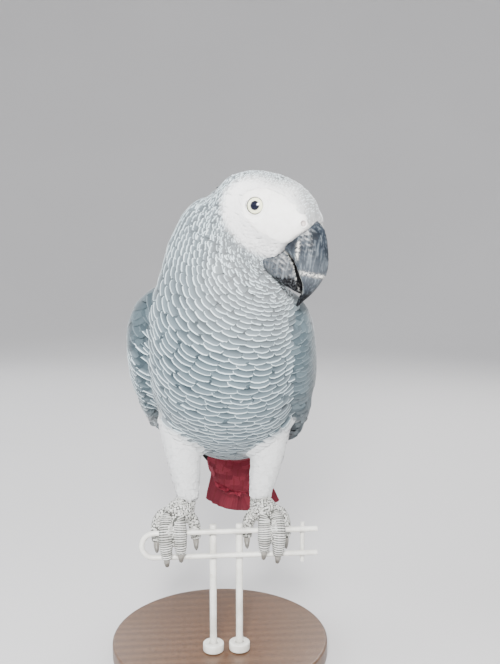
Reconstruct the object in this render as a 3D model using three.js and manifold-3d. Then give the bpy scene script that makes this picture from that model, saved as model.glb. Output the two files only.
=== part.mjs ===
// A life-size African grey parrot, gripping a short length of bent wire rail on a plain display stand.
// Millimetres, +Z up. The origin is the centre of the base's underside, the rail runs along X,
// and the bird stands over it facing -Y, with its left side at +X.
import * as THREE from "three";
import { mergeVertices } from "three/addons/utils/BufferGeometryUtils.js";
import Module from "manifold-3d";

const wasm = await Module();
wasm.setup();

// ---- Driving dimensions ----
const PERCH_HEIGHT = 84; // top of the rail's upper wire above the floor
const PERCH_Y = -24; // the rail stands forward of the base's centre, under the bird's weight
const GAP = 0.3; // between neighbouring pieces
const TORSO_TURN = THREE.MathUtils.degToRad(-10); // the breast is turned to the bird's right
const HEAD_TURN = THREE.MathUtils.degToRad(57); // and the head to its left
const HEAD_NOD = THREE.MathUtils.degToRad(10);
const HEAD_TILT = THREE.MathUtils.degToRad(-4);
const HEAD_CENTRE = new THREE.Vector3(20.5, -15.5, 174.5); // from the top of the perch

const COLOURS = {
  grey: 0xa9adb0,
  pale: 0xd9dcdc,
  quill: 0x6a6e72,
  red: 0x9c2a30,
  horn: 0x4a4e52,
  iris: 0xe8e6c4,
  scute: 0xb5b6ae,
  claw: 0x3c3c3a,
  wire: 0xd8d8d0,
  walnut: 0x5a3a24,
};

// ---- Solids ----
const vector = (x, y, z) => new THREE.Vector3(x, y, z);

// The closed solid that a three.js geometry bounds, with its faces turned outwards.
function solidOf(geometry) {
  const bare = geometry.clone();
  bare.deleteAttribute("normal");
  bare.deleteAttribute("uv");
  const merged = mergeVertices(bare, 1e-4);
  const triVerts = new Uint32Array(merged.index.array);
  const vertProperties = merged.attributes.position.array;
  const made = new wasm.Manifold(new wasm.Mesh({ numProp: 3, vertProperties, triVerts }));
  if (made.volume() > 0) {
    return made;
  }
  triVerts.reverse();
  return new wasm.Manifold(new wasm.Mesh({ numProp: 3, vertProperties, triVerts }));
}

// A named mesh of a solid, in the solid's own frame.
function meshOf(name, solid, colour, roughness = 0.8) {
  const made = solid.getMesh();
  const geometry = new THREE.BufferGeometry();
  geometry.setAttribute("position", new THREE.BufferAttribute(new Float32Array(made.vertProperties), 3));
  geometry.setIndex(new THREE.BufferAttribute(new Uint32Array(made.triVerts), 1));
  geometry.computeVertexNormals();
  const material = new THREE.MeshStandardMaterial({ color: COLOURS[colour], roughness, metalness: 0 });
  const mesh = new THREE.Mesh(geometry, material);
  mesh.name = name;
  return mesh;
}

// A smooth curve through one value of the stations, read at a share t of the way along them.
function blended(stations, key, t) {
  const span = t * (stations.length - 1);
  const i = Math.min(Math.floor(span), stations.length - 2);
  const at = (n) => stations[THREE.MathUtils.clamp(n, 0, stations.length - 1)][key];
  const s = span - i;
  const slopeFrom = (at(i + 1) - at(i - 1)) / 2;
  const slopeTo = (at(i + 2) - at(i)) / 2;
  const turn = 3 * s ** 2 - 2 * s ** 3;
  const curve = slopeFrom * (s ** 3 - 2 * s ** 2 + s) + slopeTo * (s ** 3 - s ** 2);
  return at(i) * (1 - turn) + at(i + 1) * turn + curve;
}

// A solid lofted through stations {x, y, z, side, dorsal, ventral}: an oval round each point, side wide
// to the left and right, and dorsal and ventral deep. across points to the left: one vector, or a station's
// own {ax, ay, az}. bow, if a station has it, is the radius that a flat section curls to.
function loft({ stations, steps, sides, across = vector(1, 0, 0), grow = 0, matrix }) {
  const points = stations.map(({ x, y, z }) => vector(x, y, z));
  const path = new THREE.CatmullRomCurve3(points, false, "centripetal");
  const geometry = new THREE.CylinderGeometry(1, 1, 1, sides, steps);
  const position = geometry.attributes.position;
  const turning = stations[0].ax !== undefined;
  for (let i = 0; i < position.count; i++) {
    const t = THREE.MathUtils.clamp(0.5 - position.getY(i), 0, 1);
    const ahead = path.getTangent(t);
    const wanted = turning
      ? vector(blended(stations, "ax", t), blended(stations, "ay", t), blended(stations, "az", t))
      : across;
    const left = wanted.clone().addScaledVector(ahead, -wanted.dot(ahead)).normalize();
    const down = vector(0, 0, 0).crossVectors(left, ahead);
    const wide = position.getX(i) * (blended(stations, "side", t) + grow);
    const reach = blended(stations, position.getZ(i) > 0 ? "ventral" : "dorsal", t) + grow;
    const deep = position.getZ(i) * reach;
    const past = grow * (t > 0.999) - grow * (t < 0.001);
    const placed = path.getPoint(t).addScaledVector(ahead, past);
    if (stations[0].bow) {
      const bow = blended(stations, "bow", t);
      placed.addScaledVector(left, Math.sin(wide / bow) * (bow - deep));
      placed.addScaledVector(down, bow - Math.cos(wide / bow) * (bow - deep));
    } else {
      placed.addScaledVector(left, wide).addScaledVector(down, deep);
    }
    position.setXYZ(i, placed.x, placed.y, placed.z);
  }
  if (matrix) {
    geometry.applyMatrix4(matrix);
  }
  return solidOf(geometry);
}

// A round, tapered limb through points, with its radius at each.
function limb(points, radii, steps, sides, grow = 0) {
  const stations = points.map(([x, y, z], i) => {
    const radius = radii[i];
    return { x, y, z, side: radius, dorsal: radius, ventral: radius };
  });
  return loft({ stations, steps, sides, grow });
}

// What a solid has on one side of a plane: past it, along its normal, or before it.
function sideOf(solid, point, normal, past) {
  const size = 600;
  const box = new THREE.BoxGeometry(size, size, size);
  const away = normal.clone().normalize().multiplyScalar(past ? 1 : -1);
  box.applyQuaternion(new THREE.Quaternion().setFromUnitVectors(vector(0, 0, 1), away));
  const centre = point.clone().addScaledVector(away, (size + GAP) / 2);
  box.translate(centre.x, centre.y, centre.z);
  return solid.intersect(solidOf(box));
}

// A solid less its neighbours. Of what that leaves, the largest body is kept.
function without(solid, ...neighbours) {
  const left = neighbours.reduce((rest, neighbour) => rest.subtract(neighbour), solid);
  return left.decompose().reduce((best, body) => (body.volume() > best.volume() ? body : best));
}

function ball(centre, radius) {
  const geometry = new THREE.SphereGeometry(radius, 12, 9);
  geometry.translate(centre.x, centre.y, centre.z);
  return solidOf(geometry);
}

// A round bar, standing on z = low.
function bar(x, y, low, high, radius, sides = 16) {
  const geometry = new THREE.CylinderGeometry(radius, radius, high - low, sides);
  geometry.rotateX(Math.PI / 2);
  geometry.translate(x, y, (low + high) / 2);
  return solidOf(geometry);
}

// ---- Frames of the bird's parts. Each has its left at +x, its front at -y and its back up ----
const torsoFrame = new THREE.Matrix4().makeRotationZ(TORSO_TURN);
const headFrame = new THREE.Matrix4()
  .makeRotationFromEuler(new THREE.Euler(HEAD_NOD, HEAD_TILT, HEAD_TURN, "ZXY"))
  .setPosition(HEAD_CENTRE);
const mirrored = (frame, side) => frame.clone().multiply(new THREE.Matrix4().makeScale(side, 1, 1));
const torsoPoint = (x, y, z) => vector(x, y, z).applyMatrix4(torsoFrame);
const torsoWay = (x, y, z) => vector(x, y, z).transformDirection(torsoFrame);
const headPoint = (x, y, z) => vector(x, y, z).applyMatrix4(headFrame);
const headWay = (x, y, z) => vector(x, y, z).transformDirection(headFrame);
const nape = HEAD_CENTRE.clone().applyMatrix4(torsoFrame.clone().invert());

// ---- Torso and neck: one form, from the root of the tail up into the back of the head ----
const torsoStations = [
  { x: 0, y: 76, z: 22, side: 10, dorsal: 6, ventral: 6 },
  { x: 0, y: 64, z: 35, side: 22, dorsal: 15, ventral: 15 },
  { x: 0, y: 47, z: 51, side: 33, dorsal: 24, ventral: 25 },
  { x: 0, y: 26, z: 70, side: 40, dorsal: 32, ventral: 34 },
  { x: 0, y: 7, z: 94, side: 42, dorsal: 37, ventral: 37 },
  { x: 0, y: -2, z: 118, side: 39, dorsal: 34, ventral: 33 },
  { x: 2, y: -4.5, z: 137, side: 35, dorsal: 29, ventral: 26.5 },
  { x: 4.5, y: -4.5, z: 154, side: 32, dorsal: 26, ventral: 19.5 },
  { x: nape.x - 10, y: nape.y + 6, z: nape.z - 3, side: 27, dorsal: 20, ventral: 16 },
  { x: nape.x - 5, y: nape.y + 4, z: nape.z + 11, side: 14, dorsal: 9, ventral: 8 },
];
const torsoForm = (grow) => loft({ stations: torsoStations, steps: 17, sides: 20, grow, matrix: torsoFrame });

// ---- Head: one form, from the nape to the root of the bill ----
const headStations = [
  { x: 0, y: 29, z: -2, side: 8, dorsal: 8, ventral: 8 },
  { x: 0, y: 21, z: -2, side: 15, dorsal: 17.5, ventral: 16 },
  { x: 0, y: 10, z: -1, side: 18.5, dorsal: 21.8, ventral: 20 },
  { x: 0, y: -2, z: 0, side: 19.5, dorsal: 22, ventral: 23 },
  { x: 0, y: -13, z: -2, side: 18, dorsal: 21, ventral: 22 },
  { x: 0, y: -23, z: -6, side: 14.5, dorsal: 16.6, ventral: 18 },
  { x: 0, y: -30, z: -9, side: 11, dorsal: 10, ventral: 13 },
  { x: 0, y: -34, z: -11, side: 8, dorsal: 6, ventral: 8 },
];
const headForm = loft({ stations: headStations, steps: 15, sides: 20, matrix: headFrame });

// The bill's root and the join of head and neck are planes across the head.
const billRoot = { point: headPoint(0, -27, -5.5), way: headWay(0, -0.735, -0.678) };
const headJoin = { point: headPoint(0, 8, -12.5), way: headWay(0, -0.67, 0.74) };
const neckJoin = { point: torsoPoint(0, -3, 130), way: torsoWay(0, -0.15, 1) };

// ---- Bill: both mandibles lofted from inside the head, and cut at the bill's root ----
const upperBillStations = [
  { x: 0, y: -18, z: -3, side: 10, dorsal: 13, ventral: 8 },
  { x: 0, y: -23.5, z: -10, side: 9.6, dorsal: 14.6, ventral: 6.5 },
  { x: 0, y: -28, z: -17.5, side: 8.6, dorsal: 12.4, ventral: 5 },
  { x: 0, y: -30.4, z: -23.6, side: 7.2, dorsal: 10.4, ventral: 4.2 },
  { x: 0, y: -31.6, z: -28.8, side: 5.6, dorsal: 7.4, ventral: 3 },
  { x: 0, y: -31.6, z: -33.4, side: 3.9, dorsal: 4, ventral: 1.8 },
  { x: 0, y: -30.2, z: -37.2, side: 2.2, dorsal: 2, ventral: 1.2 },
  { x: 0, y: -28.4, z: -41.2, side: 0.6, dorsal: 0.6, ventral: 0.6 },
];
const lowerBillStations = [
  { x: 0, y: -4, z: -17.5, side: 8.8, dorsal: 12, ventral: 5 },
  { x: 0, y: -11, z: -22, side: 9.4, dorsal: 13, ventral: 4.6 },
  { x: 0, y: -16.8, z: -25.8, side: 9, dorsal: 12, ventral: 4 },
  { x: 0, y: -21.6, z: -28.8, side: 7.6, dorsal: 9, ventral: 3.2 },
  { x: 0, y: -25.8, z: -31.6, side: 5.6, dorsal: 6, ventral: 2.2 },
  { x: 0, y: -29, z: -33.8, side: 2.6, dorsal: 2, ventral: 1 },
];
const upperBillForm = (grow) =>
  loft({ stations: upperBillStations, steps: 14, sides: 16, grow, matrix: headFrame });
const lowerBillForm = (grow) =>
  loft({ stations: lowerBillStations, steps: 9, sides: 14, grow, matrix: headFrame });

function bill() {
  const upper = sideOf(upperBillForm(0), billRoot.point, billRoot.way, true);
  const lower = sideOf(lowerBillForm(0), billRoot.point, billRoot.way, true);
  return [
    meshOf("bill_upper", upper, "horn", 0.5),
    meshOf("bill_lower", without(lower, upperBillForm(GAP * 2)), "horn", 0.5),
  ];
}

// ---- Eyes: balls that sit in sockets, with their caps showing ----
const EYE_RADIUS = 6.4;
const eyeCentre = (side) => headPoint(side * 14, -4.4, 5.3);

function eyes() {
  return [["left", 1], ["right", -1]].map(([name, side]) =>
    meshOf("eye_" + name, ball(eyeCentre(side), EYE_RADIUS), "iris", 0.1));
}

// ---- Trunk, neck and head, parted from the whole form ----
function trunkNeckHead() {
  const beforeBill = sideOf(headForm, billRoot.point, billRoot.way, false);
  const whole = torsoForm(0).add(beforeBill);
  const upper = sideOf(whole, neckJoin.point, neckJoin.way, true);
  const sockets = [1, -1].map((side) => ball(eyeCentre(side), EYE_RADIUS + GAP));
  const billRoom = [upperBillForm(GAP), lowerBillForm(GAP)].map((form) =>
    sideOf(form, billRoot.point.clone().addScaledVector(billRoot.way, -GAP), billRoot.way, true));
  const head = without(sideOf(upper, headJoin.point, headJoin.way, true), ...sockets, ...billRoom);
  return [
    meshOf("trunk", without(sideOf(whole, neckJoin.point, neckJoin.way, false)), "grey"),
    meshOf("neck", without(sideOf(upper, headJoin.point, headJoin.way, false), ...billRoom), "grey"),
    meshOf("head", head, "pale"),
  ];
}

// ---- Tail: coverts round its root, and the fan of long feathers ----
const tailStations = [
  { x: 0, y: 66, z: 34, side: 12, dorsal: 6, ventral: 5, bow: 40 },
  { x: 0, y: 80, z: 17, side: 18, dorsal: 4, ventral: 3.5, bow: 50 },
  { x: 0, y: 98, z: -3, side: 23, dorsal: 2.2, ventral: 2, bow: 70 },
  { x: 0, y: 112, z: -19, side: 26, dorsal: 1.2, ventral: 1.2, bow: 90 },
  { x: 0, y: 121, z: -29, side: 25, dorsal: 0.9, ventral: 0.9, bow: 100 },
  { x: 0, y: 125, z: -33.5, side: 16, dorsal: 0.6, ventral: 0.6, bow: 100 },
];
const covertStations = [
  { x: 0, y: 62, z: 37, side: 15, dorsal: 10, ventral: 12 },
  { x: 0, y: 72, z: 25, side: 18, dorsal: 8, ventral: 11 },
  { x: 0, y: 84, z: 11, side: 19, dorsal: 5.6, ventral: 8 },
  { x: 0, y: 96, z: -3, side: 15, dorsal: 3.6, ventral: 5 },
  { x: 0, y: 103, z: -11, side: 8, dorsal: 2.4, ventral: 2.6 },
];
const tailForm = (grow) => loft({ stations: tailStations, steps: 10, sides: 16, grow, matrix: torsoFrame });
const covertForm = (grow) =>
  loft({ stations: covertStations, steps: 7, sides: 14, grow, matrix: torsoFrame });

function tail() {
  return [
    meshOf("tail_coverts", without(covertForm(0), torsoForm(GAP), tailForm(GAP)), "red"),
    meshOf("tail", without(tailForm(0), torsoForm(GAP)), "red"),
  ];
}

// ---- Legs: feathered thighs, scaly feet, and four toes a foot, two before the wire and two behind ----
const WIRE_RADIUS = 1.5;
const WIRE_SPACING = 14; // upper wire to lower wire, centre to centre
const thighPoints = (side) => [
  [side * 25 + 3, 20, 60],
  [side * 24.5 + 3, 15, 44],
  [side * 22.4 + 2.6, 13, 28],
  [side * 20.4 + 1.6, 12, 13],
];
const thighForm = (side, grow) => limb(thighPoints(side), [14, 10.6, 8, 5.6], 8, 14, grow);
const footForm = (side, grow) => limb(
  [[side * 20.4 + 1.6, 13, 15], [side * 22 + 1, 10.5, 11], [side * 24.5, 5.5, 8], [side * 26.8, 1.5, 6.4]],
  [4.8, 6.2, 7.2, 5.4], 6, 12, grow);

// Each toe's line from the ball of the foot, out from the bird's middle, and its claw's.
const TOES = {
  front_inner: {
    toe: [[25, 5, 8], [24.2, 0, 5.4], [23.8, -4.3, 2.2], [23.4, -5.8, -4], [23.2, -5.6, -11]],
    toeRadii: [3.2, 3.7, 3.6, 3.5, 2.6],
    claw: [[23.2, -5.8, -10], [23.1, -5.8, -13], [23, -4.6, -16], [23, -2.6, -17.6]],
  },
  front_outer: {
    toe: [[28.4, 5, 8], [30.4, 0, 5.4], [31.2, -4.3, 2.2], [31.4, -5.8, -5], [31, -5.6, -14]],
    toeRadii: [3.2, 3.7, 3.7, 3.6, 2.6],
    claw: [[31, -5.8, -13], [30.9, -5.6, -16], [30.8, -4.2, -18.6], [30.6, -2.2, -19.8]],
  },
  back_inner: {
    toe: [[23.6, 6, 8], [18.5, 7.6, 5.8], [15.6, 7.8, 1], [14.8, 6.8, -4], [14.6, 6, -7.4]],
    toeRadii: [3.2, 3.3, 3.1, 3, 2.4],
    claw: [[14.6, 6.2, -6.4], [14.5, 5.4, -9.6], [14.4, 3.4, -11.8], [14.4, 1, -12.2]],
  },
  back_outer: {
    toe: [[28.4, 8, 8], [33.4, 9, 6], [36.3, 8.7, 1], [36.8, 7.3, -4.6], [36.8, 6.2, -8.4]],
    toeRadii: [3.2, 3.3, 3.2, 3, 2.4],
    claw: [[36.8, 6.4, -7.4], [36.8, 5.5, -10.8], [36.6, 3.6, -13], [36.6, 1.4, -13.2]],
  },
};
const CLAW_RADII = [2, 1.8, 1.2, 0.4];
const onSide = (points, side) => points.map(([x, y, z]) => [side * x, y, z]);
const toeForm = (kind, side, grow) =>
  limb(onSide(TOES[kind].toe, side), TOES[kind].toeRadii, 7, 9, grow);
const clawForm = (kind, side) => limb(onSide(TOES[kind].claw, side), CLAW_RADII, 3, 6);
const wireZ = { upper: -WIRE_RADIUS, lower: -WIRE_RADIUS - WIRE_SPACING };

// Room for a straight stretch of the rail's wire, past both feet.
function wireRoom(z) {
  const geometry = new THREE.CylinderGeometry(WIRE_RADIUS + GAP, WIRE_RADIUS + GAP, 120, 16);
  geometry.rotateZ(Math.PI / 2);
  geometry.translate(0, 0, z);
  return solidOf(geometry);
}

function leg(name, side) {
  const wires = [wireRoom(wireZ.upper), wireRoom(wireZ.lower)];
  const foot = without(footForm(side, 0), thighForm(side, GAP), ...wires);
  const meshes = [
    meshOf("thigh_" + name, without(thighForm(side, 0), torsoForm(GAP)), "pale"),
    meshOf("foot_" + name, foot, "scute"),
  ];
  const taken = [thighForm(side, GAP), footForm(side, GAP), ...wires];
  for (const kind of Object.keys(TOES)) {
    const toe = without(toeForm(kind, side, 0), ...taken);
    const claw = without(clawForm(kind, side), toeForm(kind, side, GAP), ...wires);
    meshes.push(meshOf(`toe_${name}_${kind}`, toe, "scute"));
    meshes.push(meshOf(`claw_${name}_${kind}`, claw, "claw", 0.4));
    taken.push(toeForm(kind, side, GAP));
  }
  return meshes;
}

// ---- Wings: folded round the body, from the wrist by the breast to the tips over the tail ----
const wingStations = [
  { x: 33, y: -5, z: 133, side: 5, dorsal: 3, ventral: 8, bow: 30, ax: -0.2, ay: 0.9, az: 0.4 },
  { x: 41, y: 5, z: 121, side: 18, dorsal: 9, ventral: 14, bow: 36, ax: -0.25, ay: 0.9, az: 0.4 },
  { x: 43, y: 19, z: 102, side: 29, dorsal: 10, ventral: 16, bow: 40, ax: -0.35, ay: 0.85, az: 0.5 },
  { x: 39.5, y: 41, z: 84, side: 33, dorsal: 9, ventral: 14, bow: 40, ax: -0.55, ay: 0.65, az: 0.5 },
  { x: 28.5, y: 63, z: 62, side: 28, dorsal: 7, ventral: 10, bow: 40, ax: -0.8, ay: 0.45, az: 0.4 },
  { x: 17, y: 83, z: 37, side: 17, dorsal: 4, ventral: 5, bow: 46, ax: -0.9, ay: 0.3, az: 0.25 },
  { x: 11, y: 103, z: 9, side: 9, dorsal: 2, ventral: 2, bow: 60, ax: -0.92, ay: 0.25, az: 0.2 },
  { x: 8, y: 118, z: -12, side: 3, dorsal: 0.7, ventral: 0.7, bow: 60, ax: -0.95, ay: 0.25, az: 0.2 },
];
const WING_SPREAD = { left: 0.95, right: 1 }; // the left wing is held a little closer

function wing(name, side) {
  const frame = mirrored(torsoFrame, side * WING_SPREAD[name]);
  const form = loft({ stations: wingStations, steps: 16, sides: 16, matrix: frame });
  const neighbours = [torsoForm(GAP), thighForm(side, GAP), covertForm(GAP), tailForm(GAP)];
  const half = sideOf(form, torsoPoint(0, 0, 0), torsoWay(side, 0, 0), true);
  const whole = without(half, ...neighbours);
  const join = { point: torsoPoint(side * 22, 76, 44), way: torsoWay(-side * 0.3, 0.62, -0.72) };
  return [
    meshOf("wing_" + name, without(sideOf(whole, join.point, join.way, false)), "grey"),
    meshOf("wing_tip_" + name, without(sideOf(whole, join.point, join.way, true)), "quill"),
  ];
}

// ---- Perch: the rounded end of a wire panel's rim, with a welded upright at its cut end ----
const RAIL_LEFT = -38; // where the bend starts
const RAIL_RIGHT = 54; // where the wires are cut
const UPRIGHT_RADIUS = 1.25;

function wire(z) {
  const geometry = new THREE.CylinderGeometry(WIRE_RADIUS, WIRE_RADIUS, RAIL_RIGHT - RAIL_LEFT, 12);
  geometry.rotateX(Math.PI / 2);
  geometry.rotateY(Math.PI / 2);
  geometry.translate((RAIL_LEFT + RAIL_RIGHT) / 2, 0, z);
  return solidOf(geometry);
}

function perch() {
  const section = new THREE.Shape().absarc(0, 0, WIRE_RADIUS, 0, 2 * Math.PI);
  const middle = (wireZ.upper + wireZ.lower) / 2;
  const bend = new THREE.Curve();
  bend.getPoint = (t, target = new THREE.Vector3()) => {
    const turned = Math.PI * t;
    const reach = WIRE_SPACING / 2;
    return target.set(RAIL_LEFT + 0.1 - Math.sin(turned) * reach, 0, middle + Math.cos(turned) * reach);
  };
  const end = new THREE.ExtrudeGeometry(section, {
    steps: 12, curveSegments: 6, bevelEnabled: false, extrudePath: bend,
  });
  const rail = wire(wireZ.upper).add(wire(wireZ.lower)).add(solidOf(end));
  const uprightY = WIRE_RADIUS + UPRIGHT_RADIUS + GAP;
  const upright = bar(RAIL_RIGHT - 8, uprightY, wireZ.lower - 6, 1.5, UPRIGHT_RADIUS, 12);
  return [meshOf("perch_rail", rail, "wire", 0.5), meshOf("perch_upright", upright, "wire", 0.5)];
}

// ---- Stand: a round base, and two rods that stand close behind both wires of the rail ----
const BASE = { radius: 64, thick: 10, bevel: 1.6 };
const ROD_RADIUS = 2;
const ROD_XS = { left: 10, right: -5 };
const COLLAR = { radius: 6, high: 5, chamfer: 1 };
const rodY = PERCH_Y + WIRE_RADIUS + ROD_RADIUS + GAP;

// A solid turned about an upright axis, from a profile of radii and heights.
function turned(profile, sides) {
  const geometry = new THREE.LatheGeometry(profile.map(([r, z]) => new THREE.Vector2(r, z)), sides);
  geometry.rotateX(Math.PI / 2);
  return geometry;
}

function standBase() {
  const { radius, thick, bevel } = BASE;
  const rim = radius - bevel;
  const profile = [[0, 0], [rim, 0], [radius, bevel], [radius, thick - bevel], [rim, thick], [0, thick]];
  return meshOf("stand_base", solidOf(turned(profile, 48)), "walnut", 0.5);
}

function standRod(name) {
  const foot = BASE.thick + GAP;
  const rod = bar(ROD_XS[name], rodY, foot, PERCH_HEIGHT + 1.5, ROD_RADIUS);
  const { radius, high, chamfer } = COLLAR;
  const hole = ROD_RADIUS + GAP;
  const outer = [[radius, 0], [radius, high - chamfer], [radius - chamfer, high]];
  const ring = turned([[hole, 0], ...outer, [hole, high], [hole, 0]], 16);
  ring.translate(ROD_XS[name], rodY, foot);
  return [
    meshOf("stand_rod_" + name, rod, "wire", 0.5),
    meshOf("stand_collar_" + name, solidOf(ring), "wire", 0.5),
  ];
}

// ---- The whole ----
const bird = new THREE.Group();
bird.position.set(0, PERCH_Y, PERCH_HEIGHT);
bird.add(...trunkNeckHead(), ...bill(), ...eyes(), ...tail(), ...perch());
for (const [name, side] of [["left", 1], ["right", -1]]) {
  bird.add(...leg(name, side), ...wing(name, side));
}
const stand = new THREE.Group();
stand.add(standBase(), ...standRod("left"), ...standRod("right"));

const parrot = new THREE.Group();
parrot.add(bird, stand);
export default parrot;
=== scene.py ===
from math import cos, pi, radians, sin

import bpy
import numpy as np
from mathutils import Matrix, Vector
from mathutils.bvhtree import BVHTree


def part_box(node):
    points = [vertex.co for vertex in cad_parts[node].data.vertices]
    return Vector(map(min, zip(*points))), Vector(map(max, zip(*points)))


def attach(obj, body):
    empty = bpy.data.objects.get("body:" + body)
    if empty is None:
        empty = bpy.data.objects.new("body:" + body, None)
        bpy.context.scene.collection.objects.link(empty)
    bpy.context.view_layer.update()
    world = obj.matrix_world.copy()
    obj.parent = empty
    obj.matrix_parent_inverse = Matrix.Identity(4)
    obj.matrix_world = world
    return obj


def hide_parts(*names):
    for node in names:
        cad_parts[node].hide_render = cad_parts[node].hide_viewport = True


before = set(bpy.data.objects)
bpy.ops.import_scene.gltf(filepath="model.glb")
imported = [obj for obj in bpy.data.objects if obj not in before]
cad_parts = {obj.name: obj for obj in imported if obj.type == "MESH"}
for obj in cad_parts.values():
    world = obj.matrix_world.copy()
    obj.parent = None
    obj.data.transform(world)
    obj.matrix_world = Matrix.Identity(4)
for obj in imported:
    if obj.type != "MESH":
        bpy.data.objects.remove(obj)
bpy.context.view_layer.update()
mm = 0.001

# ---- Display base ----
# A turned disc of oiled walnut, with its edges eased. It stands on the floor, and the rods are
# let into it from above.


def alone():
    """Leaves nothing selected, and the view in object mode."""
    if bpy.context.object and bpy.context.object.mode != "OBJECT":
        bpy.ops.object.mode_set(mode="OBJECT")
    bpy.ops.object.select_all(action="DESELECT")


def take(piece):
    """Selects this piece alone, and makes it the active one."""
    alone()
    piece.select_set(True)
    bpy.context.view_layer.objects.active = piece


def settle(piece, name, slot, *nodes):
    """Names a finished piece, puts its place in its mesh, and lets it stand for its solids."""
    take(piece)
    bpy.ops.object.transform_apply(location=True, rotation=True, scale=True)
    piece.name = name
    piece.data.name = name
    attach(piece, "root")
    if nodes:
        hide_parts(*nodes)
    return piece


def applied(piece, kind, **values):
    """Adds one modifier with these values, and applies it."""
    modifier = piece.modifiers.new(kind.title(), kind)
    for key, value in values.items():
        setattr(modifier, key, value)
    take(piece)
    bpy.ops.object.modifier_apply(modifier=modifier.name)
    return piece


def finish_of(name, roughness, **sockets):
    """A new material, and the means to add and link its nodes."""
    material = bpy.data.materials.new(name)
    material.use_nodes = True
    nodes, links = material.node_tree.nodes, material.node_tree.links
    shader = nodes["Principled BSDF"]
    shader.inputs["Roughness"].default_value = roughness
    for key, value in sockets.items():
        shader.inputs[key.replace("_", " ")].default_value = value

    def add(kind, inputs=(), **settings):
        node = nodes.new("ShaderNode" + kind)
        for key, value in settings.items():
            setattr(node, key, value)
        for key, value in dict(inputs).items():
            if isinstance(value, bpy.types.NodeSocket):
                links.new(value, node.inputs[key])
            else:
                node.inputs[key].default_value = value
        return node

    def ramp(factor, *stops):
        node = add("ValToRGB", {0: factor})
        while len(node.color_ramp.elements) < len(stops):
            node.color_ramp.elements.new(0.5)
        for element, (place, colour) in zip(node.color_ramp.elements, stops):
            element.position = place
            element.color = colour if len(colour) == 4 else (*colour, 1)
        return node.outputs[0]

    def mix(factor, a, b, blend="MIX"):
        node = add("Mix", {0: factor, 6: a, 7: b}, data_type="RGBA", blend_type=blend)
        return node.outputs[2]

    def maths(kind, a, b=0.0, c=0.0):
        return add("Math", {0: a, 1: b, 2: c}, operation=kind).outputs[0]

    def bump(height, depth, normal=None):
        inputs = {"Height": height, "Strength": 1.0, "Distance": depth}
        if normal:
            inputs["Normal"] = normal
        return add("Bump", inputs).outputs[0]

    def shade(socket, output):
        links.new(output, shader.inputs[socket])

    def read(key):
        return add("Attribute", attribute_name=key).outputs["Fac"]

    def noise(place, scale=5.0, detail=2.0, roughness=0.5):
        inputs = {"Vector": place, "Scale": scale, "Detail": detail, "Roughness": roughness}
        return add("TexNoise", inputs).outputs["Fac"]

    return material, add, ramp, mix, maths, bump, shade, read, noise


def grey(value):
    """A colour with no hue."""
    return (value, value, value, 1)


def cylinder_in(low, high, vertices):
    """An upright cylinder that fills the box between two corners."""
    alone()
    bpy.ops.mesh.primitive_cylinder_add(
        vertices=vertices, radius=(high.x - low.x) / 2, depth=high.z - low.z, location=(low + high) / 2)
    return bpy.context.object


stand_base = cylinder_in(*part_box("stand_base"), 128)
applied(stand_base, "BEVEL", width=1.6 * mm, segments=4, limit_method="ANGLE")
bpy.ops.object.shade_smooth_by_angle(angle=radians(35))

walnut, add, ramp, mix, maths, bump, shade, read, noise = finish_of(
    "oiled_walnut", 0.42, Coat_Weight=0.25, Coat_Roughness=0.3)
place = add("TexCoord").outputs["Object"]
board = add("Mapping", {"Vector": place, "Location": (0, 0.09, 0.03), "Scale": (4, 26, 26)}).outputs[0]
rings = add(
    "TexWave", {"Vector": board, "Scale": 1.6, "Distortion": 5.0, "Detail": 3.0, "Phase Offset": 1.0},
    wave_type="BANDS", bands_direction="Y").outputs["Fac"]
pores = noise(add("Mapping", {"Vector": place, "Scale": (60, 900, 900)}).outputs[0])
wood = mix(rings, (0.075, 0.036, 0.018, 1), (0.16, 0.085, 0.043, 1))
wood = mix(noise(board, 1.3, 3.0), wood, (0.11, 0.055, 0.027, 1))
wood = mix(ramp(pores, (0.36, grey(1)), (0.46, grey(0))), wood, (0.035, 0.017, 0.009, 1))
shade("Base Color", wood)
shade("Normal", bump(pores, 0.15 * mm))
stand_base.data.materials.append(walnut)
settle(stand_base, "display_base", "walnut", "stand_base")

# ---- Rods and perch ----
# Steel wire and rods in worn off-white paint. The rim wire is one length bent back on itself, cut off
# square at the right, with an upright welded behind it. The two rods stand in collars on the base.
wire_radius = 1.5 * mm
painted, add, ramp, mix, maths, bump, shade, read, noise = finish_of(
    "worn_paint", 0.42, Coat_Weight=0.15, Coat_Roughness=0.25)
place = add("TexCoord").outputs["Object"]
grime = noise(place, 420.0, 5.0, 0.7)
paint = ramp(noise(place, 95.0, 4.0, 0.6), (0.3, (0.56, 0.55, 0.50)), (0.6, (0.74, 0.74, 0.70)))
paint = mix(ramp(grime, (0.66, grey(0)), (0.72, grey(1))), paint, (0.24, 0.13, 0.07, 1))
shade("Base Color", paint)
shade("Normal", bump(grime, 0.05 * mm))
cut_steel, *_ = finish_of("cut_steel", 0.35, Metallic=0.9, Base_Color=(0.36, 0.35, 0.34, 1))


def choose(piece, wanted):
    """Selects these faces of a piece and no others, in edit mode."""
    take(piece)
    bpy.ops.object.mode_set(mode="EDIT")
    bpy.ops.mesh.select_mode(type="FACE")
    bpy.ops.mesh.select_all(action="DESELECT")
    bpy.ops.object.mode_set(mode="OBJECT")
    piece.data.polygons.foreach_set("select", wanted)
    bpy.ops.object.mode_set(mode="EDIT")


def paint_over(piece):
    """Smooths the round sides of a piece, and gives it the white paint."""
    bpy.ops.object.shade_smooth_by_angle(angle=radians(40))
    piece.data.materials.append(painted)


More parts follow.
